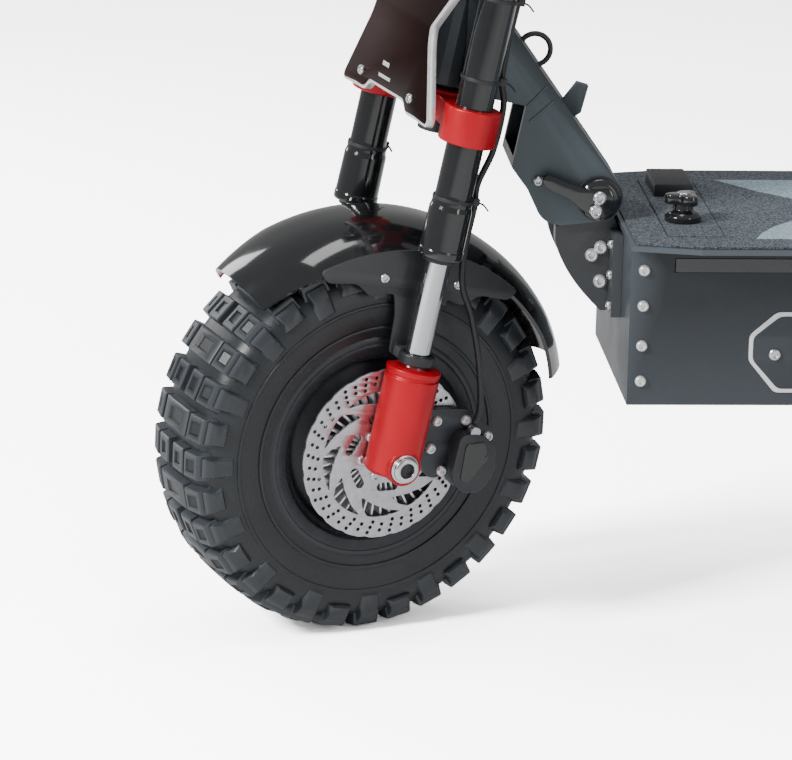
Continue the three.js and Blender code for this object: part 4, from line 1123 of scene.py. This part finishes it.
def build_hoses():
    path = [(-74, 84, 39), (-76, 84, 57), (-62, 86, 100), (-44, 86, 140), (-30, 84, 165), (-25, 82, 196),
            (-25, 82, 236), (-23, 82, 258), (-29.5, 84, 290), (-29.5, 84, 330), (-22, 82, 360),
            (-22, 82, 430), (-30, 80, 452), (-38, 62, 520), (-12, 27, 600), (-10, 27, 760), (-10, 27, 930),
            (26, 70, 1035), (44, 130, 1078), (30, 168, BAR_S + 34)]
    hose = tube(smooth_path(path, 8), 2.9, 14)
    mesh = bpy.data.meshes.new("brake_hose")
    hose.to_mesh(mesh)
    hose.free()
    mesh.transform(FORK)
    mesh.shade_smooth()
    mesh.materials.append(RUBBER)
    obj = bpy.data.objects.new("brake_hose", mesh)
    bpy.context.collection.objects.link(obj)
    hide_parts("brake_hose_upper", "brake_hose_lower")
    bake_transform(obj)


build_neck()
build_hinge()
build_deck()
build_bars()
build_hoses()


# --------------------------------------------------------------------- rear end
SHOCK_LENGTH = math.hypot(SHOCK_FOOT[0] - SHOCK_TOP[0], SHOCK_FOOT[1] - SHOCK_TOP[1])
SHOCK_LEAN = math.atan2(SHOCK_TOP[0] - SHOCK_FOOT[0], SHOCK_TOP[1] - SHOCK_FOOT[1])


def shock_frame(side):
    """Z runs up the shock, with its top eye at the origin."""
    lean = Matrix.Rotation(SHOCK_LEAN, 4, "Y")
    return DECK @ shift(SHOCK_TOP[0], side * SHOCK_Y, SHOCK_TOP[1]) @ lean


def eye(z):
    return moved(boss(12, 6.8, 6.4), turn(90, "X"), shift(0, 0, z))


def build_shock(label, side):
    place = shock_frame(side)
    low, high = 20.3 - SHOCK_LENGTH, -26.3
    body = join(eye(0), lathe(soft([(0, -128), (14.4, -128), (14.4, -27), (23.6, -27), (23.6, -21),
                                    (19, -19), (12, -14), (9, -9), (0, -9)], 1), 48))
    new_piece(f"shock_damper_{label}", body, place, ALLOY, f"{label}_shock",
              (f"shock_body_{label}",))
    profile = [(0, 9 - SHOCK_LENGTH), (9, 9 - SHOCK_LENGTH), (12, 14 - SHOCK_LENGTH),
               (23.6, 14 - SHOCK_LENGTH), (23.6, low - 0.4), (6, low - 0.4), (5.9, -70), (0, -70)]
    rod = join(eye(-SHOCK_LENGTH), lathe(soft(profile, 0.8), 40))
    new_piece(f"shock_shaft_{label}", rod, place, CHROME, f"{label}_shock_rod",
              (f"shock_rod_{label}",))
    turns = 7.5
    steps = int(turns * 28)
    path = [(20.2 * math.cos(TAU * turns * i / steps), 20.2 * math.sin(TAU * turns * i / steps),
             low + 2.8 + (high - low - 5.6) * i / steps) for i in range(steps + 1)]
    coil = new_piece(f"shock_coil_{label}", tube(path, 2.7, 12), place, RED, f"{label}_shock",
                     (f"shock_spring_{label}",), sharp=80)
    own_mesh(coil)


def build_rear():
    carry("swingarm_bracket", SATIN_BLACK)
    axle = Vector((REAR_X, 178))
    pivot = Vector(ARM_PIVOT)
    along = (axle - pivot).normalized()
    normal = Vector((-along.y, along.x))
    if normal.y < 0:
        normal.negate()
    outline = [pivot - along * 19, pivot + normal * 16, pivot + normal * 15 + along * 60,
               axle + normal * 20 - along * 30, axle + normal * 21, axle + along * 21, axle - normal * 21,
               axle - normal * 20 - along * 30, pivot - normal * 15 + along * 60, pivot - normal * 16]
    outline = rounded([tuple(p) for p in outline], 14, 5)
    window = rounded([tuple(p) for p in (pivot + along * 42 + normal * 7, axle - along * 62 + normal * 9,
                                         axle - along * 62 - normal * 9, pivot + along * 42 - normal * 7)],
                     6, 4)
    parts = []
    for _, side in SIDES:
        low, high = (72, 85) if side > 0 else (-85, -72)
        parts.append(flat([outline, window], low, high, 1.6))
        lug = lathe(soft([(0, 72), (15, 72), (15, 85), (6, 86), (6, 130), (0, 130)], 0.8), 40, "Y")
        parts.append(moved(lug, facing(side), shift(SHOCK_FOOT[0], 0, SHOCK_FOOT[1])))
    tubes = lathe(soft([(8.6, -84), (16.8, -84), (16.8, 84), (8.6, 84)], 1, closed=True), 44, "Y")
    parts.append(moved(tubes, shift(ARM_PIVOT[0], 0, ARM_PIVOT[1])))
    new_piece("swingarm_plates", join(*parts), DECK, SATIN_BLACK, "rear_arm", ("swingarm",))
    rod = lathe(soft([(0, -92), (7.8, -92), (7.8, 92), (0, 92)], 0.8), 32, "Y")
    nuts = [moved(hex_nut(12.2, 7), facing(side), shift(0, side * 85.4, 0)) for _, side in SIDES]
    new_piece("rear_axle_rod", join(rod, *nuts), REAR, STEEL, "rear_arm", ("rear_axle",))
    tops = ((SHOCK_TOP[0], 131, SHOCK_TOP[1]), (ARM_PIVOT[0], 97, ARM_PIVOT[1]))
    caps = [(x, side * y, z, side) for _, side in SIDES for x, y, z in tops]
    new_piece("shock_top_bolts", bolts(caps, 8, 5), DECK, STEEL, "deck")
    feet = [(SHOCK_FOOT[0], side * 129.6, SHOCK_FOOT[1], side) for _, side in SIDES]
    new_piece("shock_foot_bolts", bolts(feet, 8, 5), DECK, STEEL, "rear_arm")
    for label, side in SIDES:
        build_shock(label, side)


def build_stand():
    path = smooth_path([(60, 104, 220), (58, 106, 186), (46, 150, 100), (34, 186, 6)], 10)
    hinge = moved(boss(10, 4, 7.4), turn(90, "X"), shift(60, 105, 220))
    pad = moved(lathe(soft([(0, 0.2), (16.6, 0.2), (16.6, 4), (12, 7.8), (0, 7.8)], 1), 36),
                shift(34, 186, 0))
    leg = join(tube(path, 6.9, 24), hinge, pad)
    new_piece("kickstand_leg", leg, DECK, SATIN_BLACK, "stand", ("kickstand",))
    pin = lathe(soft([(0, -14), (7, -14), (7, -11), (3.8, -11), (3.8, 14), (0, 14)], 0.4), 24, "Y")
    moved(pin, shift(60, 105, 220))
    new_piece("kickstand_pin", pin, DECK, STEEL, "deck")


build_rear()
build_stand()
